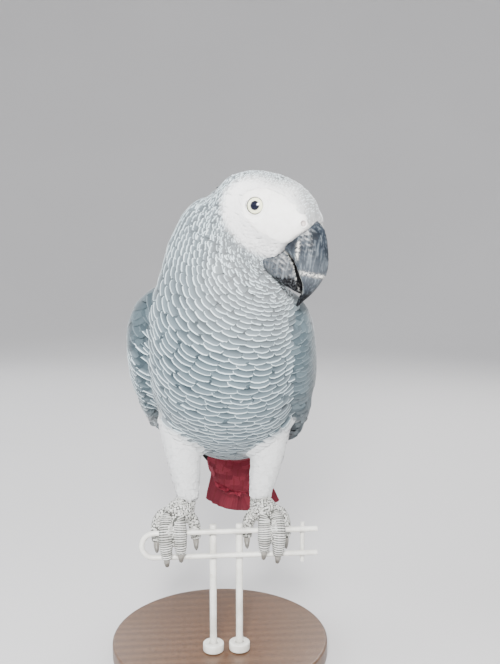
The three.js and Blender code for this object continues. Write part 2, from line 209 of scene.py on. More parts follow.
into_base = 2 * mm
collar_bore = 2.25 * mm
for name in ("left", "right"):
    low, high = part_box("stand_rod_" + name)
    rod = cylinder_in(low - Vector((0, 0, into_base)), high, 32)
    applied(rod, "BEVEL", width=0.8 * mm, segments=3, limit_method="ANGLE")
    paint_over(rod)
    settle(rod, "rod_" + name, "wire_paint", "stand_rod_" + name)

    low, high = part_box("stand_collar_" + name)
    collar = cylinder_in(low, high, 48)
    choose(collar, [abs(face.normal.z) > 0.9 for face in collar.data.polygons])
    bpy.ops.mesh.inset(thickness=(high.x - low.x) / 2 - collar_bore)
    bpy.ops.mesh.bridge_edge_loops()
    bpy.ops.object.mode_set(mode="OBJECT")
    applied(collar, "BEVEL", width=0.9 * mm, segments=3, limit_method="ANGLE")
    paint_over(collar)
    settle(collar, "collar_" + name, "wire_paint", "stand_collar_" + name)

rail_low, rail_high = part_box("perch_rail")
perch_top = Vector((0, (rail_low.y + rail_high.y) / 2, rail_high.z))
bend_radius = (rail_high.z - rail_low.z) / 2 - wire_radius
bend_x = rail_low.x + bend_radius + wire_radius
straight = rail_high.x - bend_x
alone()
bpy.ops.mesh.primitive_circle_add(
    vertices=24, radius=wire_radius, fill_type="NGON", rotation=(0, pi / 2, 0),
    location=(rail_high.x, perch_top.y, perch_top.z - wire_radius))
rail = bpy.context.object
bpy.ops.object.transform_apply(location=True, rotation=True, scale=True)
bpy.ops.object.mode_set(mode="EDIT")
bpy.ops.mesh.extrude_region_move(TRANSFORM_OT_translate={"value": (-straight, 0, 0)})
bpy.ops.mesh.spin(
    steps=24, angle=pi, axis=(0, 1, 0),
    center=(bend_x, perch_top.y, perch_top.z - wire_radius - bend_radius))
bpy.ops.mesh.extrude_region_move(TRANSFORM_OT_translate={"value": (straight, 0, 0)})
bpy.ops.mesh.select_all(action="SELECT")
bpy.ops.mesh.remove_doubles(threshold=0.02 * mm)
bpy.ops.mesh.normals_make_consistent(inside=False)
bpy.ops.object.mode_set(mode="OBJECT")
paint_over(rail)
rail.data.materials.append(cut_steel)
for face in rail.data.polygons:
    if face.center.x > rail_high.x - 0.01 * mm:
        face.material_index = 1
settle(rail, "rail", "wire_paint", "perch_rail")

# Two small beads of weld join the upright to the wires in front of it.
upright = cylinder_in(*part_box("perch_upright"), 20)
upright_x = upright.location.x
for height in (perch_top.z - wire_radius, rail_low.z + wire_radius):
    bpy.ops.mesh.primitive_uv_sphere_add(
        segments=16, ring_count=10, radius=wire_radius, scale=(1, 0.8, 0.75),
        location=(upright_x, perch_top.y + wire_radius, height))
    upright.select_set(True)
    bpy.context.view_layer.objects.active = upright
    bpy.ops.object.join()
paint_over(upright)
settle(upright, "upright", "wire_paint", "perch_upright")

# ---- Skin ----
# One skin over the head, neck, trunk, thighs, wing arms and feet. It lies under the plumage by the
# feathers' depth, is bare and white round the eyes and over the nostrils, and dark between the toes' scutes.
head_turn, head_nod, head_tilt = radians(57), radians(10), radians(-4)
head_frame = Matrix.Translation(perch_top + Vector((20.5, -15.5, 174.5)) * mm)
for angle, axis in ((head_turn, "Z"), (head_nod, "X"), (head_tilt, "Y")):
    head_frame = head_frame @ Matrix.Rotation(angle, 4, axis)
torso_frame = Matrix.Translation(perch_top) @ Matrix.Rotation(radians(-10), 4, "Z")
sides = (("left", 1), ("right", -1))
toe_kinds = ("front_inner", "front_outer", "back_inner", "back_outer")
rng = np.random.default_rng(7)
# How deep the plumage is on the body, on the wings, on the head and thighs, and on the red coverts.
body_deep, wing_deep, small_deep, covert_deep = 2.6, 1.9, 1.4, 1.3
# How far from the middle of the head the small feathers of the face start to give way, and where they end.
face_from, face_to = 24, 42


def in_frame(points, matrix):
    """Points in a part's own frame, in millimetres."""
    inverse = np.array(matrix.inverted())
    return (np.asarray(points) @ inverse[:3, :3].T + inverse[:3, 3]) / mm


def out_of_frame(points, matrix):
    """Points given in millimetres in a part's own frame, in metres in the model's."""
    there = np.array(matrix)
    return (np.asarray(points, float) * mm) @ there[:3, :3].T + there[:3, 3]


def array_of(items, key, width=3, kind=np.float32):
    """One value, or one row of values, for each item of a mesh."""
    values = np.zeros(len(items) * width, kind)
    items.foreach_get(key, values)
    return values.reshape(-1, width) if width > 1 else values


def unit(vectors):
    """Vectors brought to length 1."""
    return vectors / np.maximum(np.linalg.norm(vectors, axis=-1, keepdims=True), 1e-9)


def put_places(piece, co):
    """Moves the points of a piece to these places."""
    piece.data.vertices.foreach_set("co", co.ravel().astype(np.float32))
    piece.data.update()


def put_values(piece, key, values):
    """Gives each point of a piece a number, for its material to read."""
    attribute = piece.data.attributes.new(key, "FLOAT", "POINT")
    attribute.data.foreach_set("value", values.astype(np.float32))


def tree_of(piece):
    """The surface of a piece, ready to be searched."""
    return BVHTree.FromObject(piece, bpy.context.evaluated_depsgraph_get())


def solid_copy(name, nodes, grow):
    """One mesh from copies of these solids, each grown a little so that the gaps between them close."""
    alone()
    for node in nodes:
        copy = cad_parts[node].copy()
        copy.data = copy.data.copy()
        copy.parent = None
        copy.hide_render = copy.hide_viewport = False
        for key in list(copy.keys()):
            del copy[key]
        bpy.context.scene.collection.objects.link(copy)
        copy.select_set(True)
        bpy.context.view_layer.objects.active = copy
    if len(nodes) > 1:
        bpy.ops.object.join()
    copy = bpy.context.object
    copy.name = name
    copy.data.materials.clear()
    bpy.ops.object.mode_set(mode="EDIT")
    bpy.ops.mesh.select_all(action="SELECT")
    bpy.ops.mesh.remove_doubles(threshold=0.01 * mm)
    bpy.ops.transform.shrink_fatten(value=grow)
    bpy.ops.object.mode_set(mode="OBJECT")
    return copy


body_nodes = [
    "trunk", "neck", "head", "tail_coverts", "thigh_left", "thigh_right", "wing_left", "wing_right"]
skin = solid_copy("skin", body_nodes, 0.35 * mm)
applied(skin, "REMESH", mode="VOXEL", voxel_size=1.55 * mm)
applied(skin, "SMOOTH", factor=0.6, iterations=6)

foot_nodes = {
    name: ["foot_" + name] + [f"toe_{name}_{kind}" for kind in toe_kinds] for name, side in sides}
feet = []
for name, side in sides:
    foot = solid_copy("foot", foot_nodes[name], 0.35 * mm)
    applied(foot, "REMESH", mode="VOXEL", voxel_size=0.55 * mm)
    applied(foot, "SMOOTH", factor=0.5, iterations=5)
    feet.append(foot)


def nearest_in(tree, points):
    """The nearest places on a surface, their face numbers and distances."""
    places, _, faces, gaps = zip(*[tree.find_nearest(point) for point in points])
    return np.array(places), np.array(faces), np.array(gaps)


def surface_of(name, nodes):
    """The surface of some of the solids, ready to be searched."""
    copy = solid_copy(name, nodes, 0)
    tree = tree_of(copy)
    bpy.data.objects.remove(copy)
    return tree


wing_form = surface_of("wing_form", ["wing_left", "wing_right"])
trunk_form = surface_of("trunk_form", ["trunk", "neck", "head", "thigh_left", "thigh_right"])
thigh_form = surface_of("thigh_form", ["thigh_left", "thigh_right"])
covert_form = surface_of("covert_form", ["tail_coverts"])


def blend_in(value, start, end):
    """0 before start, 1 past end, and a smooth turn between."""
    t = np.clip((value - start) / (end - start), 0, 1)
    return t * t * (3 - 2 * t)


def bareness(points):
    """1 on the bare face round the eye and over the nostril, 0 where the feathers have closed over it."""
    p = in_frame(points, head_frame)
    ahead, up = -p[:, 1] - 14.5, p[:, 2] - 2.5
    reach = np.hypot(ahead / 19.5, (up + 0.32 * ahead) / 12.5)
    return 1 - blend_in(reach, 0.86, 1.06)


def from_face(points):
    """Millimetres from the middle of the head."""
    return np.linalg.norm(in_frame(points, head_frame) - (0, -6, 0), axis=1)


def where_on_body(points):
    """How far a place belongs to the wings, the thighs and the red coverts, each from 0 to 1."""
    forms = (wing_form, trunk_form, thigh_form, covert_form)
    wing_gap, trunk_gap, thigh_gap, covert_gap = [nearest_in(form, points)[2] / mm for form in forms]
    on_wing = 1 - blend_in(wing_gap - trunk_gap, -0.5, 1.0)
    on_thigh = (1 - blend_in(thigh_gap, 0.6, 3.0)) * (1 - on_wing)
    on_covert = 1 - blend_in(covert_gap - np.minimum(trunk_gap, wing_gap), -0.5, 1.0)
    return on_wing, on_thigh, on_covert


def coat_depth(points, wing, thigh, covert, bare_deep):
    """Millimetres from the skin to the outside of the plumage, down to bare_deep on the bare face."""
    depth = body_deep + (wing_deep - body_deep) * wing
    on_face = 1 - blend_in(from_face(points), face_from, face_to)
    depth = depth + (small_deep - depth) * np.maximum(thigh, on_face)
    depth = depth + (covert_deep - depth) * covert
    return depth + (bare_deep - depth) * bareness(points)


co = array_of(skin.data.vertices, "co")
deep = coat_depth(co, *where_on_body(co), bare_deep=0.35)
put_places(skin, co - array_of(skin.data.vertices, "normal") * (deep * mm)[:, None])
applied(skin, "SMOOTH", factor=0.5, iterations=3)


# The bare face is cut finer, and finer still round the eyes and the nostrils.
lid_centre = np.array((17.4, -4.4, 6.1))
lid_radius = 4.3
nostril_place = np.array((10.6, -28.9, 1.0))
round_eye, round_nostril = 8.6, 4.4


def finer(piece, wanted, cuts, repeat):
    """Cuts some faces of a piece into smaller ones, and evens them out."""
    choose(piece, wanted)
    bpy.ops.mesh.subdivide(number_cuts=cuts)
    bpy.ops.mesh.vertices_smooth(factor=0.5, repeat=repeat)
    bpy.ops.object.mode_set(mode="OBJECT")


finer(skin, bareness(array_of(skin.data.polygons, "center")) > 0.02, 1, 5)
p = in_frame(array_of(skin.data.polygons, "center"), head_frame)
p[:, 0] = abs(p[:, 0])
by_eye = np.linalg.norm(p - lid_centre, axis=1) < round_eye
by_nostril = np.linalg.norm(p - nostril_place, axis=1) < round_nostril
finer(skin, by_eye | by_nostril, 2, 3)

# A raised ring and a second, finer one make the lids, with folds round them and a socket for the eye inside.
# Then the rim of the nostril rises round its pit, on the swelling of the cere.
eye_frames = {}
co = array_of(skin.data.vertices, "co")
for name, side in sides:
    p = in_frame(co, head_frame) * (side, 1, 1) - lid_centre
    reach = np.hypot(p[:, 1], p[:, 2])
    ring = (reach < 9.5) & (reach > 6.5) & (abs(p[:, 0]) < 5)
    slope = np.linalg.lstsq(np.c_[p[ring, 1:], np.ones(ring.sum())], p[ring, 0], rcond=None)[0]
    out = unit(np.array((1, -slope[0] * 0.8, -slope[1] * 0.8)))
    near = lid_centre + (slope[2], 0, 0)
    gaze = unit(out + (0, -0.16, 0))
    eye_frames[name] = (near * (side, 1, 1), gaze * (side, 1, 1))
    p = in_frame(co, head_frame) * (side, 1, 1) - near
    high = p @ out
    across = p - high[:, None] * out
    reach = np.linalg.norm(across, axis=1)
    turn = np.arctan2(p[:, 2], p[:, 1])
    lid = 0.55 * np.exp(-((reach - lid_radius - 0.45) / 0.42) ** 2)
    lid = lid + 0.16 * np.exp(-((reach - lid_radius - 1.7) / 0.3) ** 2)
    fold = 0.10 * np.sin(reach * 5.2 + 2 * np.sin(turn * 3))
    fold = fold * blend_in(reach, 6.6, 7.2) * (1 - blend_in(reach, 7.8, 9.0))
    settled = high * blend_in(reach, 5.6, 8.0) + lid + fold
    settled = settled - 3.0 * (1 - blend_in(reach, lid_radius - 0.8, lid_radius - 0.05))
    beside = (reach < 9) & (abs(high) < 7)
    moved = np.where(beside, settled - high, 0)[:, None] * out * (side, 1, 1)
    co = co + moved @ np.array(head_frame.to_3x3()).T * mm

    p = in_frame(co, head_frame) * (side, 1, 1)
    nostril = p[np.argmin(np.linalg.norm(p - nostril_place, axis=1))]
    reach = np.linalg.norm(p - nostril, axis=1)
    rim = 0.55 * np.exp(-((reach - 1.7) / 0.45) ** 2) - 1.5 * np.exp(-((reach / 1.0) ** 2))
    cere = 0.7 * np.exp(-(((reach - 1.0) / 3.4) ** 2))
    put_places(skin, co)
    co = co + array_of(skin.data.vertices, "normal") * ((rim + cere) * mm)[:, None]
put_places(skin, co)

# The body's own shape is kept for laying the plumage, then the feet join it and all of it is unwrapped.
skin_count = len(skin.data.vertices)
skin_co = array_of(skin.data.vertices, "co") / mm
skin_normal = array_of(skin.data.vertices, "normal")
skin_edges = array_of(skin.data.edges, "vertices", 2, np.int32)
skin_tree = tree_of(skin)
foot_trees = [tree_of(foot) for foot in feet]
foot_shapes = [
    (array_of(foot.data.vertices, "co") / mm, array_of(foot.data.vertices, "normal"),
     array_of(foot.data.edges, "vertices", 2, np.int32)) for foot in feet]
first_faces = np.cumsum([len(skin.data.polygons), len(feet[0].data.polygons)])
alone()
for part in (*feet, skin):
    part.select_set(True)
bpy.context.view_layer.objects.active = skin
bpy.ops.object.join()
bpy.ops.object.mode_set(mode="EDIT")
bpy.ops.mesh.select_all(action="SELECT")
bpy.ops.uv.smart_project(angle_limit=radians(66), island_margin=0.001)
bpy.ops.object.mode_set(mode="OBJECT")
skin.data.uv_layers[0].name = "OFBake"
bpy.ops.object.shade_smooth()
on_wing, on_thigh, on_covert = where_on_body(skin_co * mm)
bare_here = bareness(skin_co * mm)
joined_count = len(skin.data.vertices)
p = in_frame(skin_co * mm, head_frame)
by_nostril = np.linalg.norm(np.c_[abs(p[:, 0]), p[:, 1:]] - nostril, axis=1)
pink = np.exp(-((by_nostril - 1.15) / 0.55) ** 2)
for key, values in (("bare", bare_here), ("red", on_covert), ("pink", pink), ("foot", np.zeros(0))):
    whole = np.full(joined_count, 1.0 if key == "foot" else 0.0, np.float32)
    whole[:skin_count] = 0
    whole[:len(values)] = values
    put_values(skin, key, whole)

skin_finish, add, ramp, mix, maths, bump, shade, read, noise = finish_of("skin", 0.6, Specular_IOR_Level=0.3)
place = add("TexCoord").outputs["Object"]
pores = add("TexVoronoi", {"Vector": place, "Scale": 1900.0}, feature="SMOOTH_F1").outputs["Distance"]
blotch = noise(place, 260.0, 4.0, 0.6)
white = ramp(blotch, (0.3, (0.74, 0.72, 0.70)), (0.6, (0.83, 0.825, 0.81)))
down = mix(blotch, (0.24, 0.25, 0.26, 1), (0.40, 0.42, 0.43, 1))
colour = mix(read("bare"), down, white)
colour = mix(read("pink"), colour, (0.42, 0.36, 0.35, 1))
colour = mix(read("red"), colour, (0.20, 0.014, 0.018, 1))
colour = mix(read("foot"), colour, (0.060, 0.060, 0.055, 1))
shade("Base Color", colour)
shade("Normal", bump(pores, 0.05 * mm, bump(blotch, 0.2 * mm)))
skin.data.materials.clear()
skin.data.materials.append(skin_finish)
flesh = [node for node in body_nodes if node != "tail_coverts"]
settle(skin, "skin", "plumage", *flesh, *foot_nodes["left"], *foot_nodes["right"])

# ---- Lie of the plumage ----
# Feathers grow in staggered rows that spread from the bill's root over the head, and run on down the body to
# the feet, the wings and the tail. Each one lies over the roots of the next row.
in_head = in_frame(skin_co * mm, head_frame)
in_torso = in_frame(skin_co * mm, torso_frame)
edge_from, edge_to = skin_edges[:, 0], skin_edges[:, 1]
along = skin_co[edge_to] - skin_co[edge_from]


ankle_top = 16
most_passes, small_enough = 900, 1e-9


def settled_field(count, edges, held, values, wanted=0.0, start=None):
    """The field whose steps over a mesh's edges come nearest to those wanted, with some values held.
    The steps are found by conjugate gradients."""
    a, b = edges[:, 0], edges[:, 1]
    free = ~held
    wanted = np.zeros(len(edges)) + wanted

    def pull(x):
        d = x[a] - x[b]
        return np.bincount(a, d, count) - np.bincount(b, d, count)

    field = np.where(held, values, 0.5 if start is None else start)
    push = np.bincount(b, wanted, count) - np.bincount(a, wanted, count)
    left = (push - pull(field)) * free
    way = left.copy()
    size = left @ left
    for _ in range(most_passes):
        pulled = pull(way) * free
        step = size / (way @ pulled)
        field = field + step * way
        left = left - step * pulled
        new_size = left @ left
        if new_size < small_enough:
            break
        way = left + way * (new_size / size)
        size = new_size
    return field


bill_way = (0, -0.735, -0.678)
bill_plane = (in_head - (0, -27, -5.5)) @ bill_way
bill_form = surface_of("bill_form", ["bill_upper", "bill_lower"])
by_bill = nearest_in(bill_form, skin_co * mm)[2] / mm
# The field is held at 0 round the bill's root and at its full height at the ankles, wing ends and tail.
at_bill = (abs(bill_plane) < 1.6) & (by_bill < 3.0)
at_ankle = (on_thigh > 0.5) & (in_torso[:, 2] < ankle_top)
at_wing_end = (on_wing > 0.5) & ((in_torso[:, 1] - 76) * 0.62 - (in_torso[:, 2] - 44) * 0.72 > -3)
at_tail = (on_covert > 0.5) & (in_torso[:, 1] > 94)
values = np.where(at_bill, 0, np.where(at_ankle, 1.0, np.where(at_wing_end, 1.05, 1.2)))
field = settled_field(skin_count, skin_edges, at_bill | at_ankle | at_wing_end | at_tail, values)


def evened(values, edges, count, times):
    """Values averaged with their neighbours' over a mesh's edges."""
    a, b = edges[:, 0], edges[:, 1]
    share = (np.bincount(a, minlength=count) + np.bincount(b, minlength=count) + 1)[:, None]
    for _ in range(times):
        total = values.copy()
        for axis in range(values.shape[1]):
            total[:, axis] += np.bincount(a, values[b, axis], count) + np.bincount(b, values[a, axis], count)
        values = total / share
    return values


def slope_of(values):
    """The way in which a field over the skin rises at each of its points, and how steeply."""
    rise = (values[edge_to] - values[edge_from]) / np.maximum((along ** 2).sum(1), 1e-6)
    slope = np.zeros((skin_count, 3))
    for axis in range(3):
        slope[:, axis] = np.bincount(edge_from, along[:, axis] * rise, skin_count)
        slope[:, axis] += np.bincount(edge_to, along[:, axis] * rise, skin_count)
    return slope * 2 / np.bincount(skin_edges.ravel(), minlength=skin_count)[:, None]


def combed(ways, passes):
    """Ways evened out with their neighbours', and kept in the skin."""
    for _ in range(passes):
        ways = evened(ways, skin_edges, skin_count, 8)
        ways = unit(ways - (ways * smooth_normal).sum(1)[:, None] * smooth_normal)
    return ways


smooth_normal = unit(evened(skin_normal.astype(float), skin_edges, skin_count, 6))
from_bill = skin_co - out_of_frame(np.array((0, -22, -4)), head_frame) / mm
from_throat = skin_co - out_of_frame(np.array((4, -44, 152)), torso_frame) / mm
face_share = 0.85 * (1 - blend_in(from_face(skin_co * mm), 34, 74))
body_share = (0.9 - face_share) * np.clip(1 - on_wing - on_thigh - on_covert, 0, 1)
field_share = 1 - face_share - body_share
lie = unit(slope_of(field)) * field_share[:, None] + unit(from_bill) * face_share[:, None]
lie = lie + unit(from_throat) * body_share[:, None]
lie = combed(lie, 3)

# ---- Contour feathers ----
# Thin curved vanes of soft barbs, grey in the middle and pale along the rim. They are smallest on the head
# and the shanks and largest on the breast and back, rooted in the skin and laid in rows like tiles.


def feather_size(points, wing, thigh, covert):
    """The spacing of the rows and of the feathers along them, in millimetres, at each place."""
    thigh = np.maximum(thigh, 0.7 * (1 - blend_in(thigh_gap, 1, 15)) * (1 - wing) * (1 - covert))
    far = from_face(points)
    rows = np.interp(far, (18, 24, 34, 50, 66, 84, 130), (0.90, 1.10, 1.75, 2.5, 3.1, 3.4, 3.6))
    wide = rows * np.interp(far, (18, 34, 50, 66, 84), (1.4, 1.7, 2.2, 2.7, 2.9))
    down_wing = in_frame(points, torso_frame) @ (0, 0.62, -0.78)
    wing_rows = np.interp(down_wing, (-100, -60, -20, 40), (2.3, 3.0, 4.0, 5.0))
    rows = rows + (wing_rows - rows) * wing
    wide = wide + (wing_rows * 1.5 - wide) * wing
    rows = rows + (1.7 - rows) * thigh
    wide = wide + (2.0 - wide) * thigh
    rows = rows + (5.0 - rows) * covert
    wide = wide + (6.5 - wide) * covert
    return rows, wide


thigh_gap = nearest_in(thigh_form, skin_co * mm)[2] / mm
skin_rows, skin_wide = feather_size(skin_co * mm, on_wing, on_thigh, on_covert)
first_point = np.arange(skin_count) == 0
row_number = None
for _ in range(3):
    rows_between = ((lie[edge_from] + lie[edge_to]) * along).sum(1)
    rows_between = rows_between / (skin_rows[edge_from] + skin_rows[edge_to])
    row_number = settled_field(skin_count, skin_edges, first_point, 0.0, rows_between, row_number)
    lie = combed(unit(slope_of(row_number)) + 0.35 * lie, 1)
row_gap = 1 / np.maximum(np.linalg.norm(slope_of(row_number), axis=1), 0.05)
row_gap = evened(np.clip(row_gap, skin_rows, 2.2 * skin_rows)[:, None], skin_edges, skin_count, 3)
clothed = (bare_here < 0.97) & ~(at_bill & (bill_plane > -0.6)) & ~at_ankle & (by_nostril > 4.2)

# What is known at each point of the skin, in columns, which the rows and the roots on them carry too.
skin_facts = np.c_[
    skin_co, smooth_normal, lie, row_number, skin_wide, on_wing, on_thigh, on_covert, clothed, row_gap,
    thigh_gap]
col_place, col_normal, col_lie = slice(0, 3), slice(3, 6), slice(6, 9)
col_row, col_width, col_wing, col_thigh, col_covert, col_clothed, col_row_gap, col_thigh_gap = range(9, 17)


rows_in_triangle, rows_in_all = 4, 1024


def row_lines():
    """Every row as a line over the skin: the facts at its points, and their places on the unwrapped skin."""
    skin.data.calc_loop_triangles()
    corners = array_of(skin.data.loop_triangles, "vertices", 3, np.int32)
    loops = array_of(skin.data.loop_triangles, "loops", 3, np.int32)
    body = corners.max(axis=1) < skin_count
    corners, loops = corners[body].astype(np.int64), loops[body]
    unwrapped = array_of(skin.data.uv_layers["OFBake"].data, "uv", 2)
    number = row_number[corners]
    first_row = np.ceil(row_number.min())
    keys, facts, places = [], [], []

    # A row crosses two edges of a triangle. Each crossing has its edge and its row in its key, so that the
    # triangles on both sides of the edge share it.
    for extra in range(rows_in_triangle):
        row = np.ceil(number.min(axis=1)) + extra
        before = number < row[:, None]
        triangle, corner = np.nonzero(before != np.roll(before, -1, axis=1))
        following = (corner + 1) % 3
        a, b = corners[triangle, corner], corners[triangle, following]
        share = ((row[triangle] - row_number[a]) / (row_number[b] - row_number[a]))[:, None]
        edge = np.minimum(a, b) * skin_count + np.maximum(a, b)
        keys.append(edge * rows_in_all + (row[triangle] - first_row).astype(np.int64))
        facts.append(skin_facts[a] * (1 - share) + skin_facts[b] * share)
        places.append(
            unwrapped[loops[triangle, corner]] * (1 - share) + unwrapped[loops[triangle, following]] * share)

    # The crossings are followed from one to the next, and a ring is opened at any one of them.
    kept, where = np.unique(np.concatenate(keys), return_index=True, return_inverse=True)[1:]
    facts, places = np.concatenate(facts)[kept], np.concatenate(places)[kept]
    links = [[] for _ in kept]
    for a, b in where.reshape(-1, 2).tolist():
        links[a].append(b)
        links[b].append(a)
    seen, lines = [False] * len(links), []
    for start in sorted(range(len(links)), key=lambda point: len(links[point]) > 1):
        line = []
        ahead = [start]
        while ahead and not seen[ahead[0]]:
            line.append(ahead[0])
            seen[ahead[0]] = True
            ahead = [point for point in links[ahead[0]] if not seen[point]]
        if len(line) > 12 and line[0] in links[line[-1]]:
            turn = rng.integers(len(line))
            line = line[turn:] + line[:turn + 1]
        if len(line) > 2:
            lines.append((facts[line], places[line]))
    return sorted(lines, key=lambda line: round(line[0][0, col_row]))


most_start, most_shift, enough_gap = 0.6, 0.16, 0.55


def lay():
    """Roots along every row, each one set as near as can be to the gap between two of the row before.
    A row is run along in steps of one feather's width, and a ring ends short of its first feather."""
    roots, places, rows = [], [], {}
    for facts, line_places in row_lines():
        row = round(facts[0, col_row])
        run = np.linalg.norm(np.diff(facts[:, col_place], axis=0), axis=1) / facts[1:, col_width]
        run = np.concatenate([[0], np.cumsum(run)])
        earlier = np.array(rows.get(row - 1, [])).reshape(-1, 3)
        closed = np.array_equal(facts[0], facts[-1])
        here, steps, end = 0.0, np.linspace(0, most_start, 9), run[-1]
        while True:
            tries = here + steps
            spots = np.stack([np.interp(tries, run, facts[:, axis]) for axis in range(3)], -1)
            gaps = np.linalg.norm(spots[:, None] - earlier[None], axis=2).min(axis=1, initial=99.0)
            gaps = np.minimum(gaps, enough_gap * facts[0, col_width]) / facts[0, col_width]
            here = tries[np.argmax(gaps - 0.25 * abs(steps - 1))]
            if here > end:
                break
            if closed and end == run[-1]:
                end += here - most_start
            nearest = min(np.searchsorted(run, here), len(run) - 1)
            root = np.array([np.interp(here, run, facts[:, column]) for column in range(facts.shape[1])])
            rows.setdefault(row, []).append(root[col_place])
            if root[col_clothed] > 0.5:
                roots.append(root)
                places.append(line_places[nearest])
            steps = np.linspace(1 - most_shift, 1 + most_shift, 9)
    roots = np.array(roots)
    normal = unit(roots[:, col_normal])
    lies = roots[:, col_lie]
    roots[:, col_normal] = normal
    roots[:, col_lie] = unit(lies - (lies * normal).sum(1)[:, None] * normal)
    return roots, np.array(places)


roots, root_uv = lay()


face_normal = unit(np.array([
    smooth_normal[list(face.vertices)].mean(axis=0)
    for face in skin.data.polygons if max(face.vertices) < skin_count]))


def carried(points, ways, lengths, steps):
    """Lines over the skin from each point along its way: places, ways and outward normals for each step."""
    places, headings, normals = [], [], []
    here, way = points.copy(), ways.copy()
    for step in range(steps):
        found, faces, _ = nearest_in(skin_tree, (here * mm).tolist())
        here = found / mm
        out = unit(face_normal[faces])
        way = unit(way - (way * out).sum(1)[:, None] * out)
        places.append(here)
        headings.append(way)
        normals.append(out)
        here = here + way * (lengths / (steps - 1))[:, None]
    return [np.stack(values, axis=1) for values in (places, headings, normals)]


def vane_mesh(name, grid, cells_uv, shades, material):
    """One mesh of many thin vanes, each closed underneath, from a grid of places for each vane."""
    count, rows, columns = grid.shape[:3]
    each = rows * columns
    number = np.arange(each).reshape(rows, columns)
    top = np.stack([number[:-1, :-1], number[:-1, 1:], number[1:, 1:], number[1:, :-1]], -1).reshape(-1, 4)
    under = np.stack([number[:-1, 0], number[1:, 0], number[1:, -1], number[:-1, -1]], -1)
    ends = [number[0, ::-1], number[-1]]
    loops_one = np.concatenate([top.ravel(), under.ravel(), *ends])
    sizes_one = np.concatenate([np.full(len(top) + len(under), 4), [columns, columns]])
    first = (np.arange(count) * each)[:, None]
    loops = (first + loops_one).ravel()
    sizes = np.tile(sizes_one, count)
    starts = np.concatenate([[0], np.cumsum(sizes)[:-1]])
    mesh = bpy.data.meshes.new(name)
    mesh.vertices.add(count * each)
    mesh.loops.add(len(loops))
    mesh.polygons.add(len(sizes))
    mesh.vertices.foreach_set("co", (grid * mm).astype(np.float32).ravel())
    mesh.loops.foreach_set("vertex_index", loops.astype(np.int32))
    mesh.polygons.foreach_set("loop_start", starts.astype(np.int32))
    mesh.update(calc_edges=True)
    mesh.validate()
    v, u = np.meshgrid(np.linspace(0, 1, rows), np.linspace(0, 1, columns), indexing="ij")
    spot = np.stack([u, v], -1).reshape(-1, 2)
    vane_uv = np.tile(spot[loops_one], (count, 1))
    vane_uv[:, 1] = np.where(np.tile(np.arange(len(loops_one)) < top.size, count), vane_uv[:, 1], 0.5)
    bake_uv = np.repeat(cells_uv, len(loops_one), axis=0) + (vane_uv - 0.5) * 0.003
    mesh.uv_layers.new(name="vane").data.foreach_set("uv", vane_uv.astype(np.float32).ravel())
    mesh.uv_layers.new(name="OFBake").data.foreach_set("uv", bake_uv.astype(np.float32).ravel())
    mesh.materials.append(material)
    piece = bpy.data.objects.new(name, mesh)
    bpy.context.scene.collection.objects.link(piece)
    for key, values in shades.items():
        put_values(piece, key, np.repeat(values, each))
    take(piece)
    bpy.ops.object.shade_smooth_by_angle(angle=radians(50))
    return piece


def contour_grid(facts, length, half, depth, rise, rows, columns, loose=0.08, round_by=0.35, camber=0.07):
    """Places of the vanes' points: sunk at the root, swelling along the skin, and rounded off at the tip."""
    count = len(facts)
    lies = facts[:, col_lie]
    swing = rng.normal(0, loose, count)
    ways = unit(lies + np.cross(facts[:, col_normal], lies) * swing[:, None])
    length = length * rng.uniform(1 - loose, 1 + loose, count)
    places, headings, normals = carried(facts[:, col_place], ways, length, rows)
    v = np.linspace(0, 1, rows)[None, :, None]
    turn = np.linspace(-pi / 2, pi / 2, columns)[None, None, :]
    u = np.sin(turn)
    fringe = rng.normal(0, 0.012, (count, 1, columns)) * v * length[:, None, None]
    width = half[:, None, None] * (0.4 + 0.6 * blend_in(v, 0, 0.5))
    back = width * round_by * (1 - np.cos(turn) ** 0.8) * v ** 3
    v = np.clip(v - back / length[:, None, None], 0, 1)
    lift = depth[:, None, None] * (1 - 0.96 * (1 - v) ** 1.6) + rise * blend_in(v, 0.6, 1.0)
    lift = lift * rng.uniform(1 - 0.6 * loose, 1 + 0.6 * loose, (count, 1, 1)) - u * u * width * camber
    sides_of = np.cross(headings, normals)
    grid = places[:, :, None, :] + headings[:, :, None, :] * (fringe - back)[..., None]
    grid = grid + sides_of[:, :, None, :] * (u * width)[..., None]
    return grid + normals[:, :, None, :] * lift[..., None]


def vane_finish(name, roughness, across, slant, length, scale, **sockets):
    """A material for vanes, with its tools, and how far a spot is along the vane and off its shaft,
    the vane's own tone, and its barbs, which run out from the shaft at a slant."""
    tools = finish_of(name, roughness, **sockets)
    _, add, _, _, maths, _, _, read, noise = tools
    spot = add("SeparateXYZ", {0: add("UVMap", uv_map="vane").outputs[0]}).outputs
    off_shaft = maths("ABSOLUTE", maths("MULTIPLY_ADD", spot["X"], 2.0, -1.0))
    tone = read("tone")
    barb_place = add("CombineXYZ", {
        "X": maths("MULTIPLY", off_shaft, across),
        "Y": maths("MULTIPLY_ADD", off_shaft, slant, maths("MULTIPLY", spot["Y"], length)),
        "Z": maths("MULTIPLY", tone, 40.0)}).outputs[0]
    return tools, spot["Y"], off_shaft, tone, noise(barb_place, scale)


